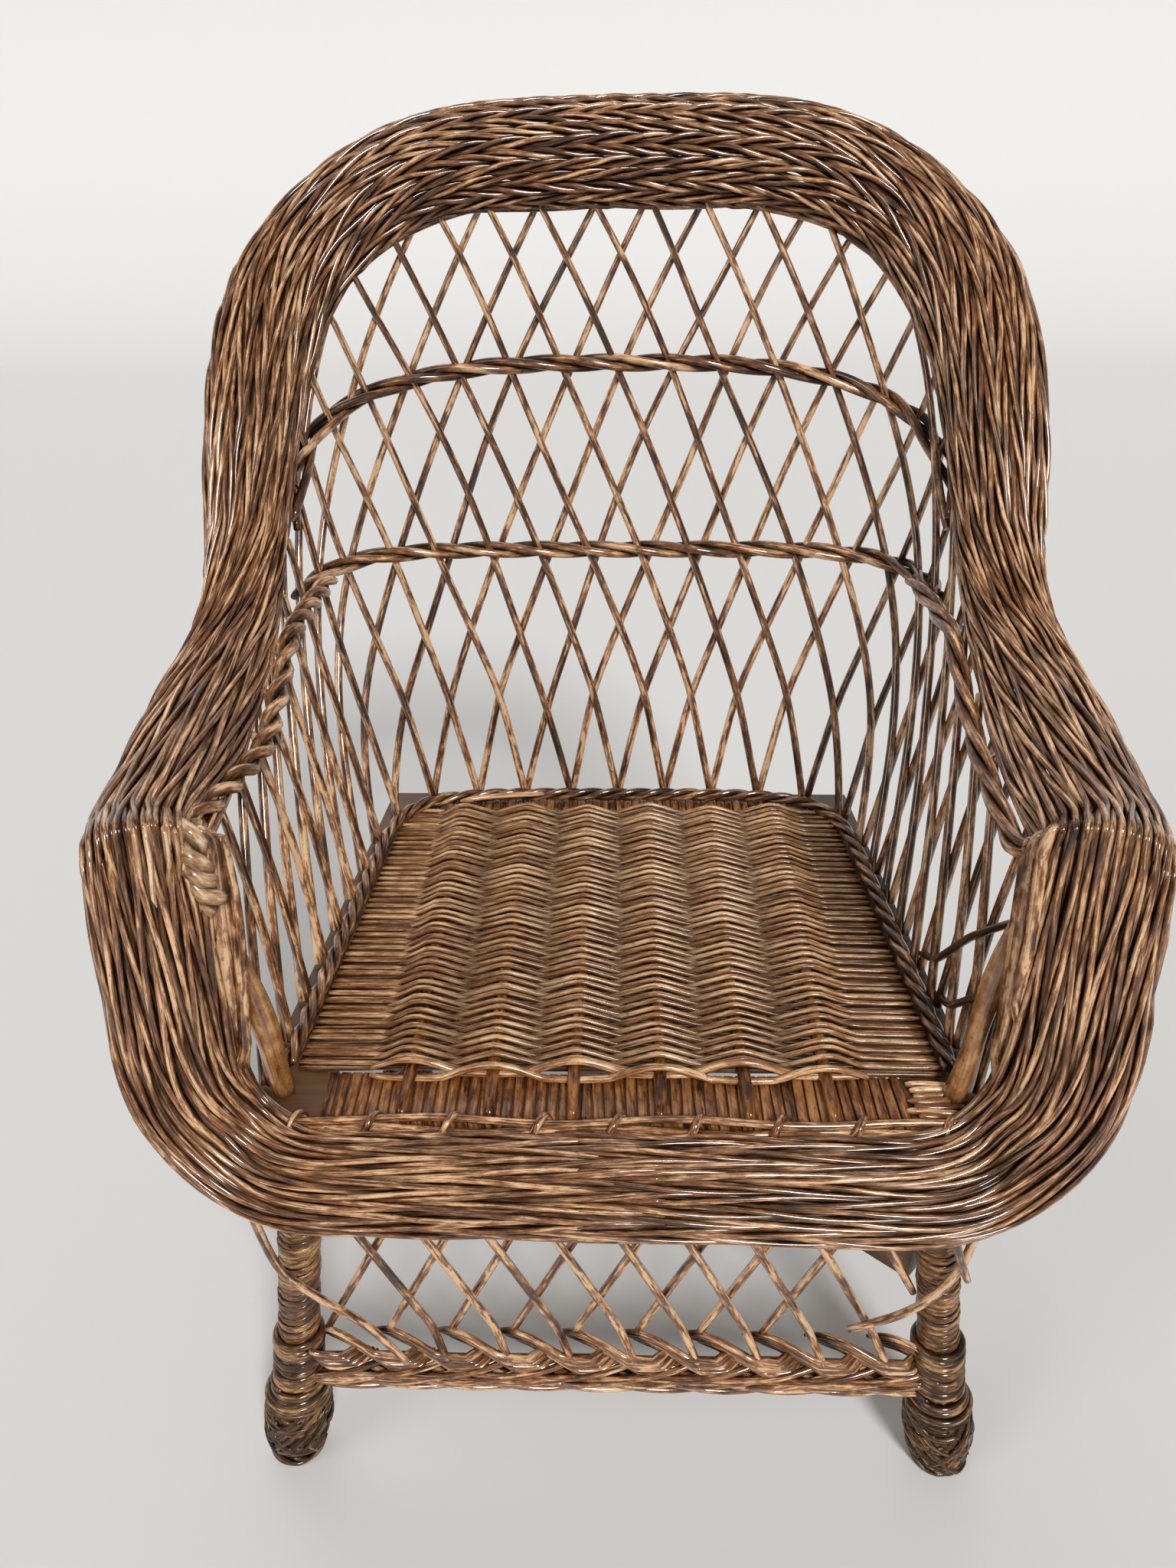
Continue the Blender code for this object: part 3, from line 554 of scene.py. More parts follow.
rim_s = np.linspace(0, RIM_END, 170)
rim_parts = rim_frames(rim_s)
front_parts = front_frames(np.linspace(0.0, 1, 110))
front_parts = (smooth_path(front_parts[0], 24), unit(smooth_path(front_parts[1], 24)),
               unit(smooth_path(front_parts[2], 24)), front_parts[3])
mitre_face = rim_parts[2][-1] + front_parts[2][0]
mitre_out = unit(rim_parts[1][-1] + front_parts[1][0])
EDGE = np.vstack([rim_parts[0], rim_parts[0][-1], front_parts[0]])
OUT = np.vstack([rim_parts[1], mitre_out, front_parts[1]])
FACE = np.vstack([rim_parts[2], mitre_face, front_parts[2]])
HALF = np.concatenate([rim_parts[3], rim_parts[3][-1:], front_parts[3]])
CREST = EDGE + OUT * HALF[:, None] + FACE * (HALF * ROLL_SHAPE)[:, None]
RUN = lengths(CREST)
ROLL_END = RUN[-1]
KINK = RUN[len(rim_s)]

# Share of the way across the roll's bulge, from its inner edge, and the turn that it stands for
BULGE_TURN = np.linspace(0, math.pi, 181)
bulge_steps = np.hypot(np.diff(1 - np.cos(BULGE_TURN)), np.diff(ROLL_SHAPE * np.sin(BULGE_TURN)))
BULGE_SHARE = np.append(0, np.cumsum(bulge_steps)) / bulge_steps.sum()


def rim_place(s):
    """Place along the roll of a running length of the wall."""
    return float(np.interp(s, rim_s, RUN[:len(rim_s)]))


def roll(q, share, lift):
    """Points on the roll: q along it from mid-crown, share across it, lift off its surface."""
    q, share, lift = np.broadcast_arrays(np.asarray(q, float), share, lift)
    a = np.abs(q)
    left = (q < 0) ^ (a > ROLL_END)
    a = np.where(a > ROLL_END, 2 * ROLL_END - a, a)
    edge, out, face = (np.stack([np.interp(a, RUN, t[:, k]) for k in range(3)], -1)
                       for t in (EDGE, OUT, FACE))
    lean = ROLL_LEAN * np.where(left, -1, 1) * np.clip(edge[:, 0] / 0.2, 0, 1)
    half = (np.interp(a, RUN, HALF) * (1 + lean))[:, None]
    turn = np.interp(share, BULGE_SHARE, BULGE_TURN) + 2.4 * (share - np.clip(share, 0, 1))
    c = np.cos(turn)[:, None]
    s = np.sin(turn)[:, None]
    high = half * ROLL_SHAPE
    normal = unit(-out * high * c + face * half * s)
    spots = edge + out * half * (1 - c) + face * high * s + normal * lift[:, None]
    spots[left, 0] *= -1
    return spots


# How the rows of the roll lie, by distance from mid-crown: length of one twist and drift across, in rows
ROLL_ROWS = 13
FILL_ROWS = 14
ROLL_ROD = 0.0022
FILL_ROD = 0.0036
ROD_REACH = (0.16, 0.50)
WAIST = rim_place(WAIST_AT)
SPLIT = rim_place(0.415)
row_marks = (0.0, rim_place(0.16), rim_place(0.23), rim_place(0.32), WAIST - 0.05, WAIST + 0.05,
             KINK - 0.05, KINK + 0.03, KINK + 0.14, ROLL_END)
row_twists = (0.086, 0.100, 0.15, 0.20, 0.18, 0.16, 0.19, 0.25, 0.26, 0.21)
row_drifts = (0.0, -0.5, -1.5, -2.4, -2.1, 0.8, 2.3, 2.6, 2.0, 1.5)
row_ways = (1, -1, 1, -1, -1, 1, -1, 1, 1, -1, 1, -1, 1)


def sway(q, reach):
    """A slow wander along a rod."""
    return reach * (np.sin(q / dice.uniform(0.035, 0.06) + dice.random() * 6.3)
                    + 0.6 * np.sin(q / dice.uniform(0.015, 0.028) + dice.random() * 6.3))


def rod_spans(q, inside, behind):
    """Where one line of the weave is broken into rods: only where it passes underneath."""
    spans = []
    start = None
    for i in range(len(q)):
        if not inside[i]:
            if start is not None and i - start > 5:
                spans.append((start, i))
            start = None
            continue
        if start is None:
            start = i
            goal = dice.uniform(*ROD_REACH)
        if behind[i] and q[i] - q[start] > goal:
            spans.append((start, min(i + 3, len(q))))
            start = i - 2
            goal = dice.uniform(*ROD_REACH)
    if start is not None and len(q) - start > 5:
        spans.append((start, len(q)))
    return spans


roll_places = np.arange(-ROLL_END - 0.03, ROLL_END + 0.03, 0.0062)
crest_places = [side * (KINK + step * 0.003) for side in (-1, 1) for step in range(-5, 6)]
roll_places = np.unique(np.concatenate([roll_places, crest_places]))
row_twist = np.cumsum(np.gradient(roll_places) / np.interp(np.abs(roll_places), row_marks, row_twists))
row_drift = np.interp(np.abs(roll_places), row_marks, row_drifts)
crest_calm = 1 - 0.75 * np.exp(-((np.abs(roll_places) - KINK) / 0.034) ** 2)
crest_ease = np.exp(-((np.abs(roll_places) - KINK) / 0.018) ** 2)[:, None]
ROLL_CUT = KINK + 0.034
roll_cuts = (-ROLL_END - 0.1, -ROLL_CUT, -SPLIT, SPLIT, ROLL_CUT, ROLL_END + 0.1)
roll_names = ("front_roll", "left_arm_roll", "back_roll", "right_arm_roll", "front_roll")
roll_groups = {name: [] for name in roll_names}


def lay_in_roll(share, lift, behind, radius, painted_shade, way=1):
    """Break one line of the weave into rods and hand each to the part of the roll that it lies on."""
    inside = (share > -0.035) & (share < 1.035)
    dive = 0.007 * np.clip((np.abs(share - 0.5) - 0.475) / 0.06, 0, 1)
    spots = roll(roll_places, share, lift - dive)
    # The open side points out of the roll, and into it when way is -1; the side turned away from it gets
    # painted shade
    face = way * unit(roll(roll_places, share, lift + 0.004) - roll(roll_places, share, lift))
    spots = spots * (1 - crest_ease) + smooth_path(spots, 16) * crest_ease
    for first, last in rod_spans(roll_places, inside, behind):
        q = roll_places[first:last]
        shade = dice.random() * (0.75 if abs(q.mean()) < 0.22 else 1.0)
        slim = np.sqrt(np.interp(np.abs(q), RUN, HALF) / ROLL_HALF)
        radii = slim * radius * dice.uniform(0.92, 1.10)
        made = strand(spots[first:last], radii, shade, tip=0.5, tip_share=0.14,
                      painted_shade=painted_shade[first:last], face=face[first:last])
        for name, low, high in zip(roll_names, roll_cuts, roll_cuts[1:]):
            here = np.flatnonzero((q >= low) & (q < high))
            if len(here) > 1:
                part = slice(max(here[0] - 3, 0), min(here[-1] + 4, len(q)))
                points, radii, *rest = (column[part] for column in made)
                hidden = np.clip(np.maximum(low - q[part], q[part] - high) / 0.009, 0, 1)
                roll_groups[name].append((points, radii * (1 - 0.18 * hidden), *rest))


for row in range(-4, ROLL_ROWS + 4):
    lead = dice.random()
    for n in range(3):
        turn = (row_ways[row % len(row_ways)] * row_twist + n / 3 + lead) * math.tau
        place = 0.36 * np.cos(turn) * crest_calm + (n - 1) / 3 * (1 - crest_calm)
        share = (row + 0.5 + row_drift + place) / ROLL_ROWS + sway(roll_places, 0.005)
        lift = 0.0006 + 0.0024 * np.sin(turn) * crest_calm
        # Painted shade where the rod dives under the others, none where it rides on top
        painted_shade = np.clip(0.34 - 0.80 * np.sin(turn) * crest_calm, 0, 0.94)
        lay_in_roll(share, lift, np.sin(turn) < -0.85, ROLL_ROD, painted_shade)
# A lower layer of thicker rods under the roll that closes its gaps; their outward sides carry painted
# shade, so the gaps read as shadow
for row in range(-3, FILL_ROWS + 4):
    share = (row + row_drift * FILL_ROWS / ROLL_ROWS) / FILL_ROWS + sway(roll_places, 0.005)
    deep = np.full(len(share), -0.0046)
    lay_in_roll(share, deep, share > -1, FILL_ROD, np.full(len(share), 0.25), -1)
for middle, lift0 in ((0.010, 0.0016), (0.990, 0.0)):
    lead = dice.random()
    for n in range(2):
        turn = (0.4 * row_twist + n / 2 + lead) * math.tau
        share = middle + 0.014 * np.cos(turn) * crest_calm
        lift = lift0 + 0.0024 * np.sin(turn) * crest_calm
        # Painted shade where the edge rods dive
        painted_shade = np.clip(0.30 - 0.55 * np.sin(turn) * crest_calm, 0, 0.9)
        lay_in_roll(share, lift, np.sin(turn) < -0.85, ROLL_ROD * 1.3, painted_shade)
for place in np.arange(KINK + 0.03, 2 * ROLL_END - KINK, 0.052):
    share = np.linspace(0.05, 0.95, 18)
    roll_groups["front_roll"].append(strand(roll(place + 0.02 * share, share, -0.0062), 0.0027, tip=0.8))
for name, made in roll_groups.items():
    dress(rods(name + "_rods", made, roll_willow, sides=6), "roll_rods", name)

# Hoops under the roll
HOOP_DEPTH = 0.0165
HOOP_RADIUS = 0.0068
for name, first, last, count in (("rim_hoop", -KINK + 0.012, KINK - 0.012, 220),
                                 ("front_hoop", KINK + 0.014, 2 * ROLL_END - KINK - 0.014, 160)):
    q = np.linspace(first, last, count)
    hoop = [strand(roll(q, 0.5, -HOOP_DEPTH), HOOP_RADIUS, tip=0.9)]
    dress(rods(name + "_rod", hoop, leg_wrap, sides=10), "hoop_rods", name)


# Lattice: one family of rods inside, the other outside, ends tucked under the roll

LATTICE_GAP = 0.0031
LATTICE_ROD = 0.0036
LATTICE_TAPER = 0.0010


def lattice_rod(column, way, inside):
    """One rod from the seat frame up to its tail under the roll."""
    m = np.linspace(0, LATTICE_ROWS + 1.5, 90)
    s = (column + way * m) * ROD_PITCH / 2
    keep = row_height(m) < rim_height(s)
    m = m[keep]
    drift = wander(0.004) * np.sin(m * 0.9 + dice.random() * 6)
    s = smooth_path(s[keep] + drift * np.clip(m, 0, 1), 6)
    z = smooth_path(row_height(m), 6)
    points = wall(s, z) - wall_out(s, z) * (LATTICE_GAP * inside)
    end = math.copysign(rim_place(abs(s[-1])), s[-1])
    tail = np.linspace(0.06, 0.86, 14)
    over = roll(end + way * 0.055 * tail, tail, -0.0064)
    points = np.concatenate([points, over])
    return shaped(points, LATTICE_ROD - LATTICE_TAPER * np.linspace(0, 1, len(points)))


groups = {"back_lattice_rods": [], "left_side_lattice_rods": [], "right_side_lattice_rods": []}
for column in range(-SIDE_COLUMNS, SIDE_COLUMNS + 1, 2):
    for way, inside in ((-1, 1), (1, -1)):
        middle = column + way * 2
        name = "back_lattice_rods"
        if abs(middle) > BACK_COLUMNS:
            name = ("left" if middle < 0 else "right") + "_side_lattice_rods"
        groups[name].append(lattice_rod(column, way, inside))
for name, made in groups.items():
    dress(rods(name, made, lattice_willow), "lattice_rods", name.replace("_rods", ""))


# Twined bands across the back, and the rope that carries on along the arms

BAND_TWIST = 0.150
BAND_REST = 0.0020
BAND_ROD = 0.0037


def band(level, dip, dip_reach, reach, phase):
    """Three strands twined through the lattice, following the rim where it drops below the level."""
    s = np.linspace(-reach, reach, int(2 * reach / 0.005))
    lane = level - dip * np.abs(s / dip_reach) ** 3
    lane = np.minimum(lane, rim_height(s) - 0.013)
    lane = smooth_path(lane, 8)
    made = []
    for n in range(3):
        turn = (s / BAND_TWIST + n / 3 + phase) * math.tau
        z = lane + 0.0040 * np.cos(turn)
        points = wall(s, z) - wall_out(s, z) * (BAND_REST + 0.0078 * np.sin(turn))[:, None]
        # Painted shade where each strand passes behind the lattice, and on its sides turned into the
        # band
        painted_shade = np.clip(0.30 - 0.5 * np.sin(turn), 0, 0.8)
        face = unit(points - wall(s, lane) + wall_out(s, lane) * BAND_REST)
        made.append(strand(points, BAND_ROD, tip=0.8, tip_share=0.03, painted_shade=painted_shade, face=face))
    return made


for name, lane in (("lower_band", (LOWER_BAND, 0.0, 1.0, 0.345, 0.1)),
                   ("upper_band", (UPPER_BAND, UPPER_BAND_DIP, 0.300, 0.352, 0.4))):
    dress(rods(name + "_strands", band(*lane), rope_willow), "twined_rods",
          name + "_inner_weaver", name + "_outer_weaver")
arm_ropes = []
for sign in (-1, 1):
    s = sign * np.linspace(0.300, RIM_END - 0.004, 84)
    z = np.minimum(LOWER_BAND - 0.001, rim_height(s) - 0.007)
    path = smooth_path(wall(s, z) - wall_out(s, z) * 0.0115, 8)
    bend = EDGE[len(rim_s)] * (sign, 1, 1)
    if sign < 0:
        tuck = bend + np.array([(-0.006, -0.003, 0.014), (-0.004, -0.022, 0.004)])
        path = smooth_path(dense(np.vstack([path[:-25], tuck]), 0.005), 6)
        arm_ropes += rope(path, 2, 0.0042, 0.0044, -0.054)
    else:
        tuck = bend + np.array([(0.006, -0.006, -0.002), (0.022, -0.018, -0.012)])
        path = smooth_path(dense(np.vstack([path, tuck]), 0.005), 3)
        arm_ropes += rope(path, 3, 0.0040, 0.0036, 0.150)
dress(rods("arm_edge_ropes", arm_ropes, rope_willow), "twined_rods")


# Seat: stakes, weft rods, border rope

STAKE_Z = RAIL_TOP + 0.0022 + STAKE_RADIUS
WEFT_ROWS = 86
WEFT_RADIUS = 0.0021
WEFT_FRONT = RAIL_WIDTH + 0.001
WEFT_BACK = FRAME_DEPTH - RAIL_WIDTH - 0.003


def stake_x(k):
    return (k - (STAKE_COUNT - 1) / 2) * STAKE_PITCH


def seat_half(y):
    """Half width of the seat frame at a depth behind its front face."""
    return SEAT_FRONT_HALF + (SEAT_BACK_HALF - SEAT_FRONT_HALF) * y / FRAME_DEPTH


stakes = []
for k in range(STAKE_COUNT):
    y = np.linspace(FRAME_DEPTH - RAIL_WIDTH * 0.75, -0.002, 60)
    x = stake_x(k) + 0.0012 * np.sin(y * 23 + k * 2)
    z = STAKE_Z - 0.004 * np.clip((0.006 - y) / 0.008, 0, 1) ** 2
    stakes.append(strand(seat_points(x, y, z), 0.0046, dice.uniform(0.1, 0.5), tip=0.9))
dress(rods("seat_stakes", stakes, wrap_cane, sides=10), "seat_weave",
      *["seat_stake_%d" % (k + 1) for k in range(STAKE_COUNT)])

weft = []
for row in range(WEFT_ROWS):
    y0 = WEFT_FRONT + (WEFT_BACK - WEFT_FRONT) * row / (WEFT_ROWS - 1)
    half = seat_half(y0) - 0.0235
    x = np.linspace(-half, half, int(2 * half / 0.0042))
    wave = np.zeros(len(x))
    for k in range(STAKE_COUNT):
        near = 1 - np.abs(x - stake_x(k)) / STAKE_PITCH
        wave += (1 if (k + row) % 2 == 0 else -1) * np.clip(near, 0, None)
    wave = smooth_path(wave, 1)
    reach = STAKE_RADIUS + WEFT_RADIUS
    z = STAKE_Z + wave * reach * np.where(wave > 0, 1.22, 0.9)
    flat = np.clip((np.abs(x) - stake_x(STAKE_COUNT - 1) - 0.008) / 0.020, 0, 1)
    level = RAIL_TOP + WEFT_RADIUS + 0.0010 + (0.0022 if row % 2 else 0.0) + dice.uniform(0, 0.0012)
    z = z * (1 - flat) + level * flat
    y = y0 + 0.0024 * np.clip(wave, 0, 1) + 0.0006 * np.sin(x * 21 + row * 1.7) + wander(0.0004)
    # Painted shade in the valleys and where the rod dives, a random amount on the flat rows at the
    # sides, and on the side turned away from the open side, which points down where the rod dives
    row_shade = dice.uniform(0.0, 0.25 if row % 2 else 0.75)
    painted_shade = np.clip(0.70 - 0.95 * wave, 0, 0.72) * (1 - flat) + flat * row_shade
    face = np.clip(1.8 * wave + flat, -1, 1)[:, None] * (0, 0, 1)
    weft.append(strand(seat_points(x, y, z), WEFT_RADIUS * dice.uniform(0.92, 1.08),
                       dice.uniform(0.30, 0.85), tip=0.7, tip_share=0.02, painted_shade=painted_shade, face=face))
    # Rods under the stakes that close the gaps, their upper sides dark with painted shade
    lower = seat_points(np.linspace(-half, half, 24), y0 + 0.0025, STAKE_Z - 0.0028)
    weft.append(strand(lower, 0.0025, tip=0.7, tip_share=0.02, painted_shade=0.5, face=(0, 0, -1)))
for drop, lead in ((0.003, 0.0), (0.0080, 1.0)):
    x = np.linspace(-0.172, 0.172, 110)
    beat = np.cos((x - stake_x(0)) / STAKE_PITCH * math.pi + lead * math.pi)
    z = np.maximum(STAKE_Z + 0.0072 * beat, RAIL_TOP + 0.004)
    weft.append(strand(seat_points(x, WEFT_FRONT - drop + 0.0015 * beat, z), 0.0028, 0.6, tip=0.6))
loose = bent([(-0.150, 0.398, 0.4190), (-0.128, 0.404, 0.4205), (-0.098, 0.412, 0.4185),
              (-0.072, 0.420, 0.4155)], 0.006, 3)
weft.append(strand(loose, 0.0026, 0.95, tip=0.5))
dress(rods("seat_weft_rods", weft, seat_willow, sides=6), "seat_weave", "seat_weave")
corner_rods = []
for k in range(7):
    x = np.linspace(0.197 + wander(0.004), 0.231 + wander(0.003), 12)
    y = 0.0045 + 0.0052 * k + 0.0010 * np.sin(x * 130 + k)
    # Painted shade on the undersides
    corner_rods.append(strand(seat_points(x, y, RAIL_TOP + 0.0021), 0.0024, tip=0.6, face=(0, 0, 1)))
dress(rods("seat_corner_rods", corner_rods, seat_willow), "seat_weave")

border_z = RAIL_TOP + 0.0080
s = np.linspace(-0.615, 0.615, 260)
path = wall(s, border_z) - wall_out(s, border_z) * 0.0105
path = path[path[:, 1] > FRONT_Y + RAIL_WIDTH - 0.004]
border = rope(path, 3, 0.0034, 0.0031, 0.070, 0.12)
dress(rods("seat_border_rope", border, rope_willow), "twined_rods", "seat_border")


# Cane wound round the front and back rails, made about an upright axis and then laid along the rail

RAIL_ROUND = 0.003
STRIP_LIFT = 0.0012
STRIP_RADIUS = 0.00095
STRIP_COVER = 0.88


def bound_rail(name, near, far, half, loops, node_name):
    """Cane strips side by side round a rail, each one loop long."""
    wide = (far - near) / 2
    tall = (RAIL_TOP - RAIL_BOTTOM) / 2
    plan = []
    faces = []
    for cx, cy, start in ((1, 1, 0), (-1, 1, 90), (-1, -1, 180), (1, -1, 270)):
        for step in (0, 45, 90):
            turn = math.radians(start + step)
            plan.append((cx * (wide - RAIL_ROUND) + (RAIL_ROUND + STRIP_LIFT) * math.cos(turn),
                         cy * (tall - RAIL_ROUND) + (RAIL_ROUND + STRIP_LIFT) * math.sin(turn)))
            # Open side pointing out from the rail, so painted shade falls along the edges of each strip,
            # between the loops
            faces.append((math.cos(turn), math.sin(turn), 0))
    pitch = 2 * half / loops
    plan = np.array(plan + plan[:1])
    strips = []
    for loop in range(loops):
        along = -half + pitch * (loop + np.linspace(0, 1, len(plan)))
        along = along + wander(0.0007) * plan[:, 0] / wide
        part = np.column_stack([plan, along])
        strips.append(shaped(part, STRIP_RADIUS, face=np.array(faces + faces[:1])))
    flat = pitch / 2 / STRIP_RADIUS * STRIP_COVER - 0.95
    piece = rods(name, strips, wrap_cane, flat=flat)
    lay = Matrix(((0, 0, 1, 0), (1, 0, 0, (near + far) / 2 + FRONT_Y),
                  (0, 1, 0, (RAIL_TOP + RAIL_BOTTOM) / 2), (0, 0, 0, 1)))
    piece.data.transform(lay)
    dress(piece, "cane_wrap", node_name)


bound_rail("front_rail_wrap", 0.0, RAIL_WIDTH, SEAT_FRONT_HALF - 0.052, 52, "front_rail_binding")
bound_rail("back_rail_wrap", FRAME_DEPTH - RAIL_WIDTH, FRAME_DEPTH, SEAT_FRONT_HALF - 0.077, 46,
           "back_rail_binding")


# Legs, posts and feet

def leg_axis(end, side, z):
    """Middle of a leg at heights z."""
    sign = -1 if side == "left" else 1
    bottom, top = (np.array((sign * x, y + FRONT_Y)) for x, y in LEG_SPOTS[end])
    z = np.asarray(z, float)
    spot = bottom + (top - bottom) * (z / LEG_TOP)[:, None]
    return np.column_stack([spot, z])


def round_axis(turn):
    """Level directions round an upright axis."""
    return np.stack([np.cos(turn), np.sin(turn), 0 * turn], -1)


def leg_strips(end, side):
    """Cane wound up a leg, in strips of two turns."""
    count = LEG_TURNS * TURN_POINTS
    turn = np.linspace(0, LEG_TURNS * math.tau, count)
    z = np.linspace(0.136, 0.372, count) + 0.0008 * np.sin(turn * 0.13 + dice.random() * 6)
    z = z + 0.0014 * np.sin(turn)
    reach = LEG_RADIUS + 0.0016 + 0.0011 * np.sin(turn * 0.117 + dice.random() * 6) ** 2
    face = round_axis(turn)
    path = leg_axis(end, side, z) + face * reach[:, None]
    made = []
    for first in range(0, count, 2 * TURN_POINTS):
        here = slice(first, first + 2 * TURN_POINTS + 2)
        # Open side pointing out from the leg, so painted shade falls along the edges of each strip,
        # between the turns
        made.append(shaped(path[here], 0.0012, face=face[here]))
    return made


def cuff_rods(end, side):
    """Rods round the foot of a leg, wider where they sit on the knob."""
    made = []
    for k in range(CUFF_RODS):
        turn = np.linspace(0, math.tau * 1.12, 40)
        z = CUFF_LOW + CUFF_STEP * k + 0.0030 * turn / math.tau + wander(0.0008)
        face = round_axis(turn + k * 1.7)
        reach = LEG_RADIUS + 0.0046 + 0.0068 * np.clip((0.094 - z) / 0.02, 0, 1) + wander(0.0008)
        path = leg_axis(end, side, z) + face * reach[:, None]
        # Painted shade on the side of each rod turned into the leg
        made.append(strand(path, 0.0033, tip=0.5, tip_share=0.1, face=face))
    return made


def foot_strands(end, side):
    """Short rods laid every way round the knob of a foot, and rings round its neck."""
    made = []
    for _ in range(FOOT_RODS):
        tilt = dice.uniform(-1.0, 1.0)
        start = dice.random() * math.tau
        turn = start + np.linspace(0, dice.uniform(1.2, 2.6), 22)
        rise = dice.uniform(0.010, 0.088) + tilt * 0.048 * np.sin(turn - start)
        rise = np.clip(rise, 0.0035, 0.090)
        u = rise / FOOT_HEIGHT
        wide = 0.0165 + 0.0098 * np.sin(math.pi * np.clip(u * 0.86 + 0.08, 0, 1)) ** 0.8
        wide = wide - 0.004 * np.clip((u - 0.8) / 0.2, 0, 1) + dice.uniform(-0.0014, 0.0010)
        face = round_axis(turn)
        path = leg_axis(end, side, rise) + face * wide[:, None]
        # Painted shade: a random amount on each rod, and more on its side turned into the foot
        made.append(strand(path, dice.uniform(0.0014, 0.0024), tip=0.5, tip_share=0.1,
                           painted_shade=dice.uniform(0.0, 0.8), face=face))
    for k in range(4):
        turn = np.linspace(0, math.tau * 1.1, 40) + k * 2.1
        z = 0.0660 + 0.0036 * k + 0.002 * np.sin(turn * 1.7 + k)
        path = leg_axis(end, side, z) + round_axis(turn) * (0.0245 - 0.0012 * k)
        # A random amount of painted shade on each ring
        made.append(strand(path, 0.0021, tip=0.5, tip_share=0.1, painted_shade=dice.uniform(0.1, 0.6)))
    return made


for end, side in LEGS:
    name = end + "_" + side
    dress(rods(name + "_leg_wrap", leg_strips(end, side), leg_wrap, flat=1.8), "cane_wrap",
          name + "_leg_winding")
    dress(rods(name + "_leg_cuff", cuff_rods(end, side), foot_willow), "plait")
    dress(rods(name + "_foot_weave", foot_strands(end, side), foot_willow, sides=6), "foot_weave")

posts = []
for side, sign in (("left", -1), ("right", 1)):
    low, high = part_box(side + "_arm_post")
    outer = high.x if sign > 0 else low.x
    foot = np.array((sign * (SEAT_FRONT_HALF - 0.022), 0.026 + FRONT_Y, RAIL_TOP + 0.0003))
    head = np.array((outer - sign * 0.008, high.y - 0.009, high.z - 0.001))
    w = np.linspace(0, 1, 40)
    path = foot + (head - foot) * w[:, None]
    path[:, 0] += 0.0015 * np.sin(w * 9 + sign)
    posts.append(shaped(path, 0.0086 + 0.0010 * np.sin(w * 11 + sign * 2) - 0.0012 * w, 0.6))
dress(rods("arm_post_sticks", posts, post_bark, sides=14), "frame_wood",
      "left_arm_post", "right_arm_post")


# Arm fronts: the knot at the end of the left rope, thick rods down the inside of both pillars, thin
# rods over the fold of the left arm, and hooks on the right side
corner = EDGE[len(rim_s)] * (-1, 1, 1) + (-0.008, -0.014, 0.010)
path = corner + np.array([(0.004, 0.002, 0.012), (0.008, -0.009, 0.004), (0.011, -0.014, -0.012),
                          (0.013, -0.013, -0.030), (0.016, -0.009, -0.044)])
knot = rope(smooth_path(dense(path, 0.003), 6), 2, 0.0050, 0.0054, 0.034, 0.8)
dress(rods("arm_knot", knot, knot_willow, sides=10), "twined_rods")

thick = []
w = np.linspace(0, 1, 50)
for sign, reach, first, last, radius, over in (
        (-1, 0.21, 0.16, 0.06, 0.0046, 0.0), (-1, 0.19, 0.09, -0.02, 0.0052, 0.0),
        (-1, 0.20, 0.00, 0.15, 0.0043, 0.0085), (1, 0.20, 0.05, -0.03, 0.0052, 0.0),
        (1, 0.21, 0.14, 0.05, 0.0045, 0.0), (1, 0.15, 0.22, 0.16, 0.0042, 0.0)):
    share = first + (last - first) * w + 0.018 * np.sin(w * 7 + radius * 900)
    lift = np.interp(w, (0, 0.05, 0.86, 1), (0.0007, 0.0052, 0.0052, -0.0023))
    lift = lift + over * np.sin(math.pi * w)
    points = roll(sign * (KINK - 0.004 + reach * w), share, lift)
    thick.append(strand(points, radius, dice.uniform(0.5, 0.9), tip=0.6, tip_share=0.08))
dress(rods("arm_front_rods", thick, lattice_willow, sides=10), "roll_rods")
# Rods of a lighter tone over the fold of the left arm
pale_rods = []
for k in range(4):
    share = 0.31 + 0.078 * k + wander(0.014) + 0.03 * w
    lift = np.interp(w, (0, 0.12, 0.60, 1), (0.0004, 0.0034, 0.0034, -0.0024))
    points = roll(-KINK - 0.004 - dice.uniform(0.036, 0.062) * w, share, lift)
    pale_rods.append(strand(points, 0.0019, dice.uniform(0.4, 1.0), tip=0.6))
dress(rods("arm_pale_rods", pale_rods, knot_willow), "roll_rods")

hooks = []
for bends in (
        ((0.238, 0.175, 0.410), (0.236, 0.132, 0.436), (0.240, 0.077, 0.498), (0.256, 0.046, 0.532)),
        ((0.240, 0.128, 0.408), (0.236, 0.086, 0.430), (0.240, 0.047, 0.470), (0.254, 0.022, 0.498))):
    hooks.append(strand(bent(bends, 0.005, 5), 0.0030, 0.1, tip=0.8))
dress(rods("side_hook_rods", hooks, foot_willow), "lattice_rods")


# Skirt: crossed rods and the plait along its foot

def skirt_rod(x, slope, layer, foot_drop):
    """One slanting rod between the legs, from the plait up to the rail."""
    z = np.linspace(PLAIT_LEVEL + 0.023 - foot_drop, RAIL_BOTTOM - 0.004, 40)
    across = x + slope * (SKIRT_MIDDLE - z)
    depth = leg_axis("front", "right", z)
    keep = np.abs(across) < depth[:, 0] - 0.0195
    points = np.stack([across, depth[:, 1] + layer * 0.0034, z], -1)[keep]
    if layer < 0:
        points[:, 1] -= 0.011 * np.clip((PLAIT_LEVEL + 0.034 - points[:, 2]) / 0.02, 0, 1)
    return strand(points, 0.0034, dice.uniform(0.3, 1.0), tip=0.85)


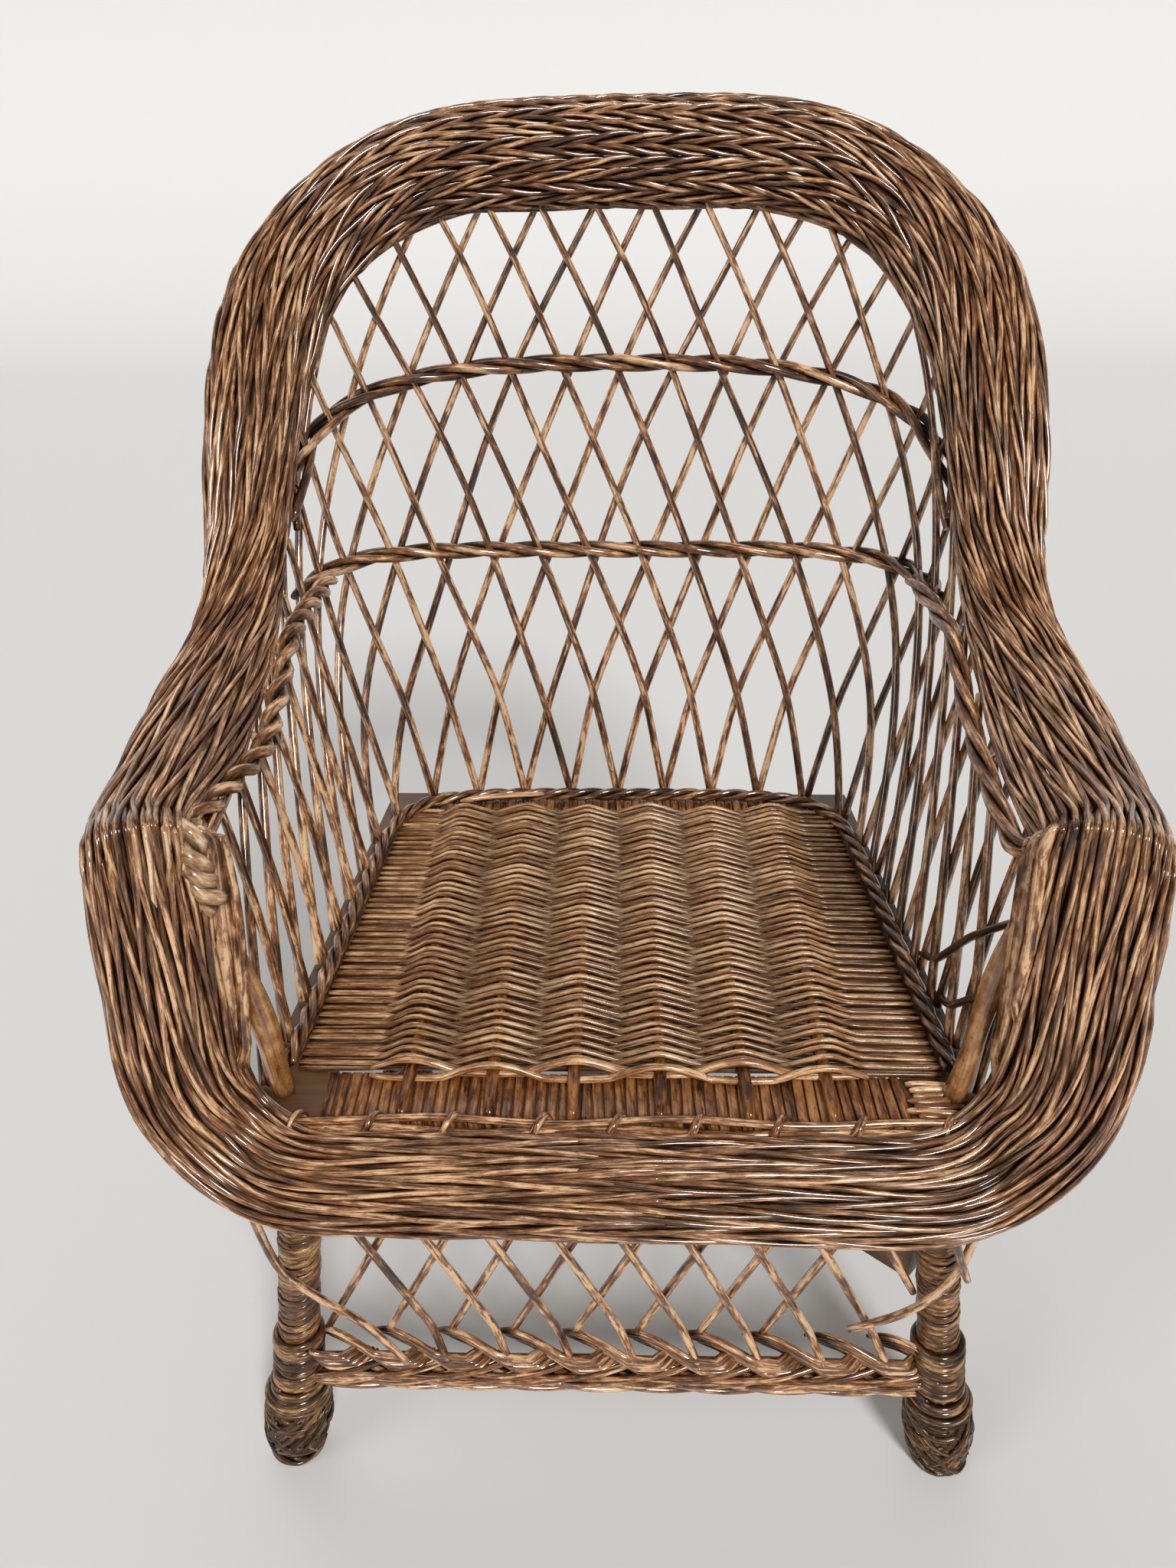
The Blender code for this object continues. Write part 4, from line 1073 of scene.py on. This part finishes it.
for name, count, layer, foot_drop in (("skirt_front_rod", 9, -1, 0.012), ("skirt_back_rod", 8, 1, 0.0)):
    made = []
    for k in range(count):
        x = (k - (count - 1) / 2) * SKIRT_PITCH + layer * SKIRT_SHIFT
        made.append(skirt_rod(x, -layer * SKIRT_SLOPE, layer, foot_drop))
    dress(rods(name + "s", made, lattice_willow), "skirt_rods",
          *["%s_%d" % (name, k + 1) for k in range(count)])

plait_y = float(leg_axis("front", "right", [PLAIT_LEVEL])[0, 1])
PLAIT_REACH = 0.246
PLAIT_TOP = 0.1430
PLAIT_ROD = 0.0027
w = np.linspace(0, 1, 28)
# Painted shade towards the tucked ends of each plait rod
tuck_shade = np.clip(np.abs(w - 0.5) * 1.6 - 0.40, 0, 0.4)


def plait_rod(x, z, bulge):
    """One rod of the plait, from its tucked start to its tucked end."""
    y = plait_y + 0.004 - bulge
    keep = np.abs(x) < PLAIT_REACH
    if keep.sum() < 8:
        return []
    points = np.stack([x, y, z], -1)[keep]
    # Open side forward and up where the rod stands out, turned back where it lies deep, so painted shade
    # falls on its front there
    face = np.clip((bulge - 0.005) / 0.005, -1, 1)[keep, None] * (0, -0.8, 0.6)
    return [strand(points, PLAIT_ROD * dice.uniform(0.9, 1.1), tip=0.5, painted_shade=tuck_shade[keep], face=face)]


plait = []
strand_depth = np.sin(math.pi * (0.06 + 0.88 * w)) ** 0.7
leaf_depth = np.interp(w, (0, 0.25, 0.60, 0.85, 1), (-0.006, 0.006, 0.0185, 0.0160, 0.0030))
fall = np.interp(w, (0, 0.15, 0.30, 0.80, 1), (0.012, 0.002, 0.0, 0.0150, 0.0185))
fall = smooth_path(fall, 4)
spread = 0.0029 + 0.0028 * np.sin(math.pi * np.clip(w * 1.05, 0, 1)) ** 0.8
for k in range(-1, 11):
    foot = (k - 4.5) * SKIRT_PITCH - SKIRT_SHIFT + 0.066
    for n in range(5):
        x = foot - 0.076 + 0.088 * w + 0.0030 * n
        z = PLAIT_TOP - n * spread - fall
        plait += plait_rod(x, z, leaf_depth - 0.0009 * n)
    for n in range(3):
        x = foot - 0.094 + 0.104 * w + 0.016 * n
        z = 0.0920 + 0.0035 * n + 0.0170 * w ** 1.2
        plait += plait_rod(x, z, 0.0160 * strand_depth + 0.002 * (1 - w))
    for n in range(3):
        x = foot - 0.085 + 0.100 * w + 0.016 * n
        z = 0.1020 - 0.0035 * n - 0.0125 * w
        plait += plait_rod(x, z, 0.0140 * strand_depth)
# Core rods behind the plait, their fronts dark with painted shade
for n in range(4):
    x = np.linspace(-0.242, 0.242, 60)
    z = 0.0900 + 0.0056 * n + 0.0008 * np.sin(x * 40 + n)
    points = np.stack([x, np.full(60, plait_y + 0.0040), z], -1)
    plait.append(strand(points, 0.0031, tip=0.8, painted_shade=0.25, face=(0, 1, 0)))
dress(rods("skirt_plait_strands", plait, rope_willow), "plait", "skirt_plait")


# Loose rods that hook round the front legs from the apron, and the fork at the left leg's head
hooks = []
for bends in (
        ((-0.256, 0.000, 0.388), (-0.260, -0.002, 0.352), (-0.261, 0.004, 0.310), (-0.257, 0.008, 0.270),
         (-0.250, 0.010, 0.235), (-0.223, 0.012, 0.204), (-0.190, 0.014, 0.172), (-0.164, 0.010, 0.136)),
        ((0.250, 0.002, 0.388), (0.256, 0.004, 0.350), (0.256, 0.008, 0.300), (0.253, 0.010, 0.262),
         (0.247, 0.010, 0.240), (0.229, 0.010, 0.211), (0.209, 0.014, 0.190), (0.179, 0.022, 0.166)),
        ((0.222, -0.002, 0.388), (0.226, -0.004, 0.350), (0.236, 0.000, 0.300), (0.247, 0.006, 0.262),
         (0.256, 0.008, 0.240)),
        ((-0.215, -0.016, 0.376), (-0.195, -0.024, 0.362), (-0.178, -0.018, 0.368))):
    hooks.append(strand(bent(bends, 0.006, 8), 0.0034, dice.uniform(0.4, 0.9), tip=0.8))
dress(rods("leg_hook_rods", hooks, lattice_willow), "skirt_rods")
fork = bent([(-0.236, 0.034, 0.300), (-0.222, 0.030, 0.322), (-0.206, 0.030, 0.348),
             (-0.196, 0.032, 0.372)], 0.004, 0)
fork_rods = [shaped(fork, 0.0110 - 0.0020 * np.linspace(0, 1, len(fork)), 0.2)]
fork_rods += rope(fork[2:], 1, 0.0115, 0.0020, 0.0052)
dress(rods("left_leg_fork", fork_rods, leg_wrap, sides=10), "cane_wrap")


# Rods between the front rail and the apron
EDGE_ROD = 0.0027
edge_rods = []
edge_lanes = ((0.4075, -0.0075, 0.232), (0.4015, -0.0105, 0.238), (0.3950, -0.0060, 0.236))
for n, (level, depth, reach) in enumerate(edge_lanes):
    x = np.linspace(-reach, reach, 90)
    y = depth + 0.0016 * np.sin(x * 41 + n * 2)
    z = level + 0.0012 * np.sin(x * 33 + n * 1.3)
    edge_rods.append(strand(seat_points(x, y, z), EDGE_ROD, dice.uniform(0.2, 0.7), tip=0.6))
for k in range(9):
    x = (k - 4) * 0.0535 + wander(0.004) + 0.006 * np.linspace(-1, 1, 16)
    turn = np.linspace(-0.6, 3.6, 16)
    y = -0.0085 - 0.0062 * np.cos(turn)
    z = 0.4045 + 0.0062 * np.sin(turn)
    edge_rods.append(strand(seat_points(x, y, z), EDGE_ROD, dice.uniform(0.2, 0.7), tip=0.7))
dress(rods("front_edge_rods", edge_rods, rope_willow), "twined_rods")

# Wood of the frame
wood = {"front_seat_rail": rail_wood, "back_seat_rail": rail_wood, "left_seat_rail": side_rail_wood,
        "right_seat_rail": side_rail_wood, "diagonal_brace": brace_wood}
for end, side in LEGS:
    for part in ("_leg", "_foot"):
        wood[end + "_" + side + part] = leg_wood
for name, skin in wood.items():
    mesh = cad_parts[name].data
    mesh.materials.clear()
    mesh.materials.append(skin)

# Floor with a backdrop that curves up from it, light and camera
COVE_START = 5.0
COVE_RADIUS = 3.0
profile = [(-9.0, 0.0)]
for turn in np.linspace(0, math.pi / 2, 24):
    rise = COVE_RADIUS - COVE_RADIUS * math.cos(turn)
    profile.append((COVE_START + COVE_RADIUS * math.sin(turn), rise))
profile.append((8.0, 9.0))
bm = bmesh.new()
rows = [[bm.verts.new((x, y, z)) for x in (-14.0, 14.0)] for y, z in profile]
for near, far in zip(rows, rows[1:]):
    bm.faces.new((near[0], near[1], far[1], far[0])).smooth = True
data = bpy.data.meshes.new("floor")
bm.to_mesh(data)
bm.free()
floor = link("floor", data)
skin, _, shader = fresh_material("pale_floor")
fill(shader, {"Base Color": (0.68, 0.67, 0.655, 1), "Roughness": 0.8})
data.materials.append(skin)
floor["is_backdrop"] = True

world = bpy.data.worlds.new("studio")
bpy.context.scene.world = world
world.use_nodes = True
fill(world.node_tree.nodes["Background"], {"Color": (1.0, 0.98, 0.95, 1), "Strength": 0.24})


def lamp(name, place, softness, strength):
    """A far, broad lamp that shines from a place towards the chair."""
    light = bpy.data.lights.new(name, "SUN")
    light.angle = math.radians(softness)
    light.energy = strength
    holder = link(name, light)
    holder.location = place
    holder.rotation_euler = (-Vector(place)).to_track_quat("-Z", "Y").to_euler()


lamp("key", (0.9, -2.6, 2.4), 14, 2.6)
lamp("fill", (-2.2, -1.6, 2.0), 25, 0.5)
lamp("rear", (-0.6, 2.0, 2.4), 40, 0.5)

YAW = -0.0281257
PITCH = 0.5006403
TILT = 0.0099406
CAMERA_SPOT = Vector((-0.00057, FRONT_Y - 0.59566, 0.98217))
LENS_SHARE = 1574.0706 / 2048
SENSOR = 36
ahead = Vector((math.sin(YAW) * math.cos(PITCH), math.cos(YAW) * math.cos(PITCH), -math.sin(PITCH)))
right = Vector((math.cos(YAW), -math.sin(YAW), 0))
down = ahead.cross(right)
tilted = right * math.cos(TILT) + down * math.sin(TILT)
lower_axis = down * math.cos(TILT) - right * math.sin(TILT)
lens = bpy.data.cameras.new("camera")
lens.sensor_width = SENSOR
lens.lens = LENS_SHARE * SENSOR
lens.clip_start = 0.02
camera = link("camera", lens)
turned = Matrix((tilted, -lower_axis, -ahead)).transposed().to_4x4()
turned.translation = CAMERA_SPOT
camera.matrix_world = turned
bpy.context.scene.camera = camera
bpy.context.scene.view_settings.view_transform = "Standard"

low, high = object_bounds()
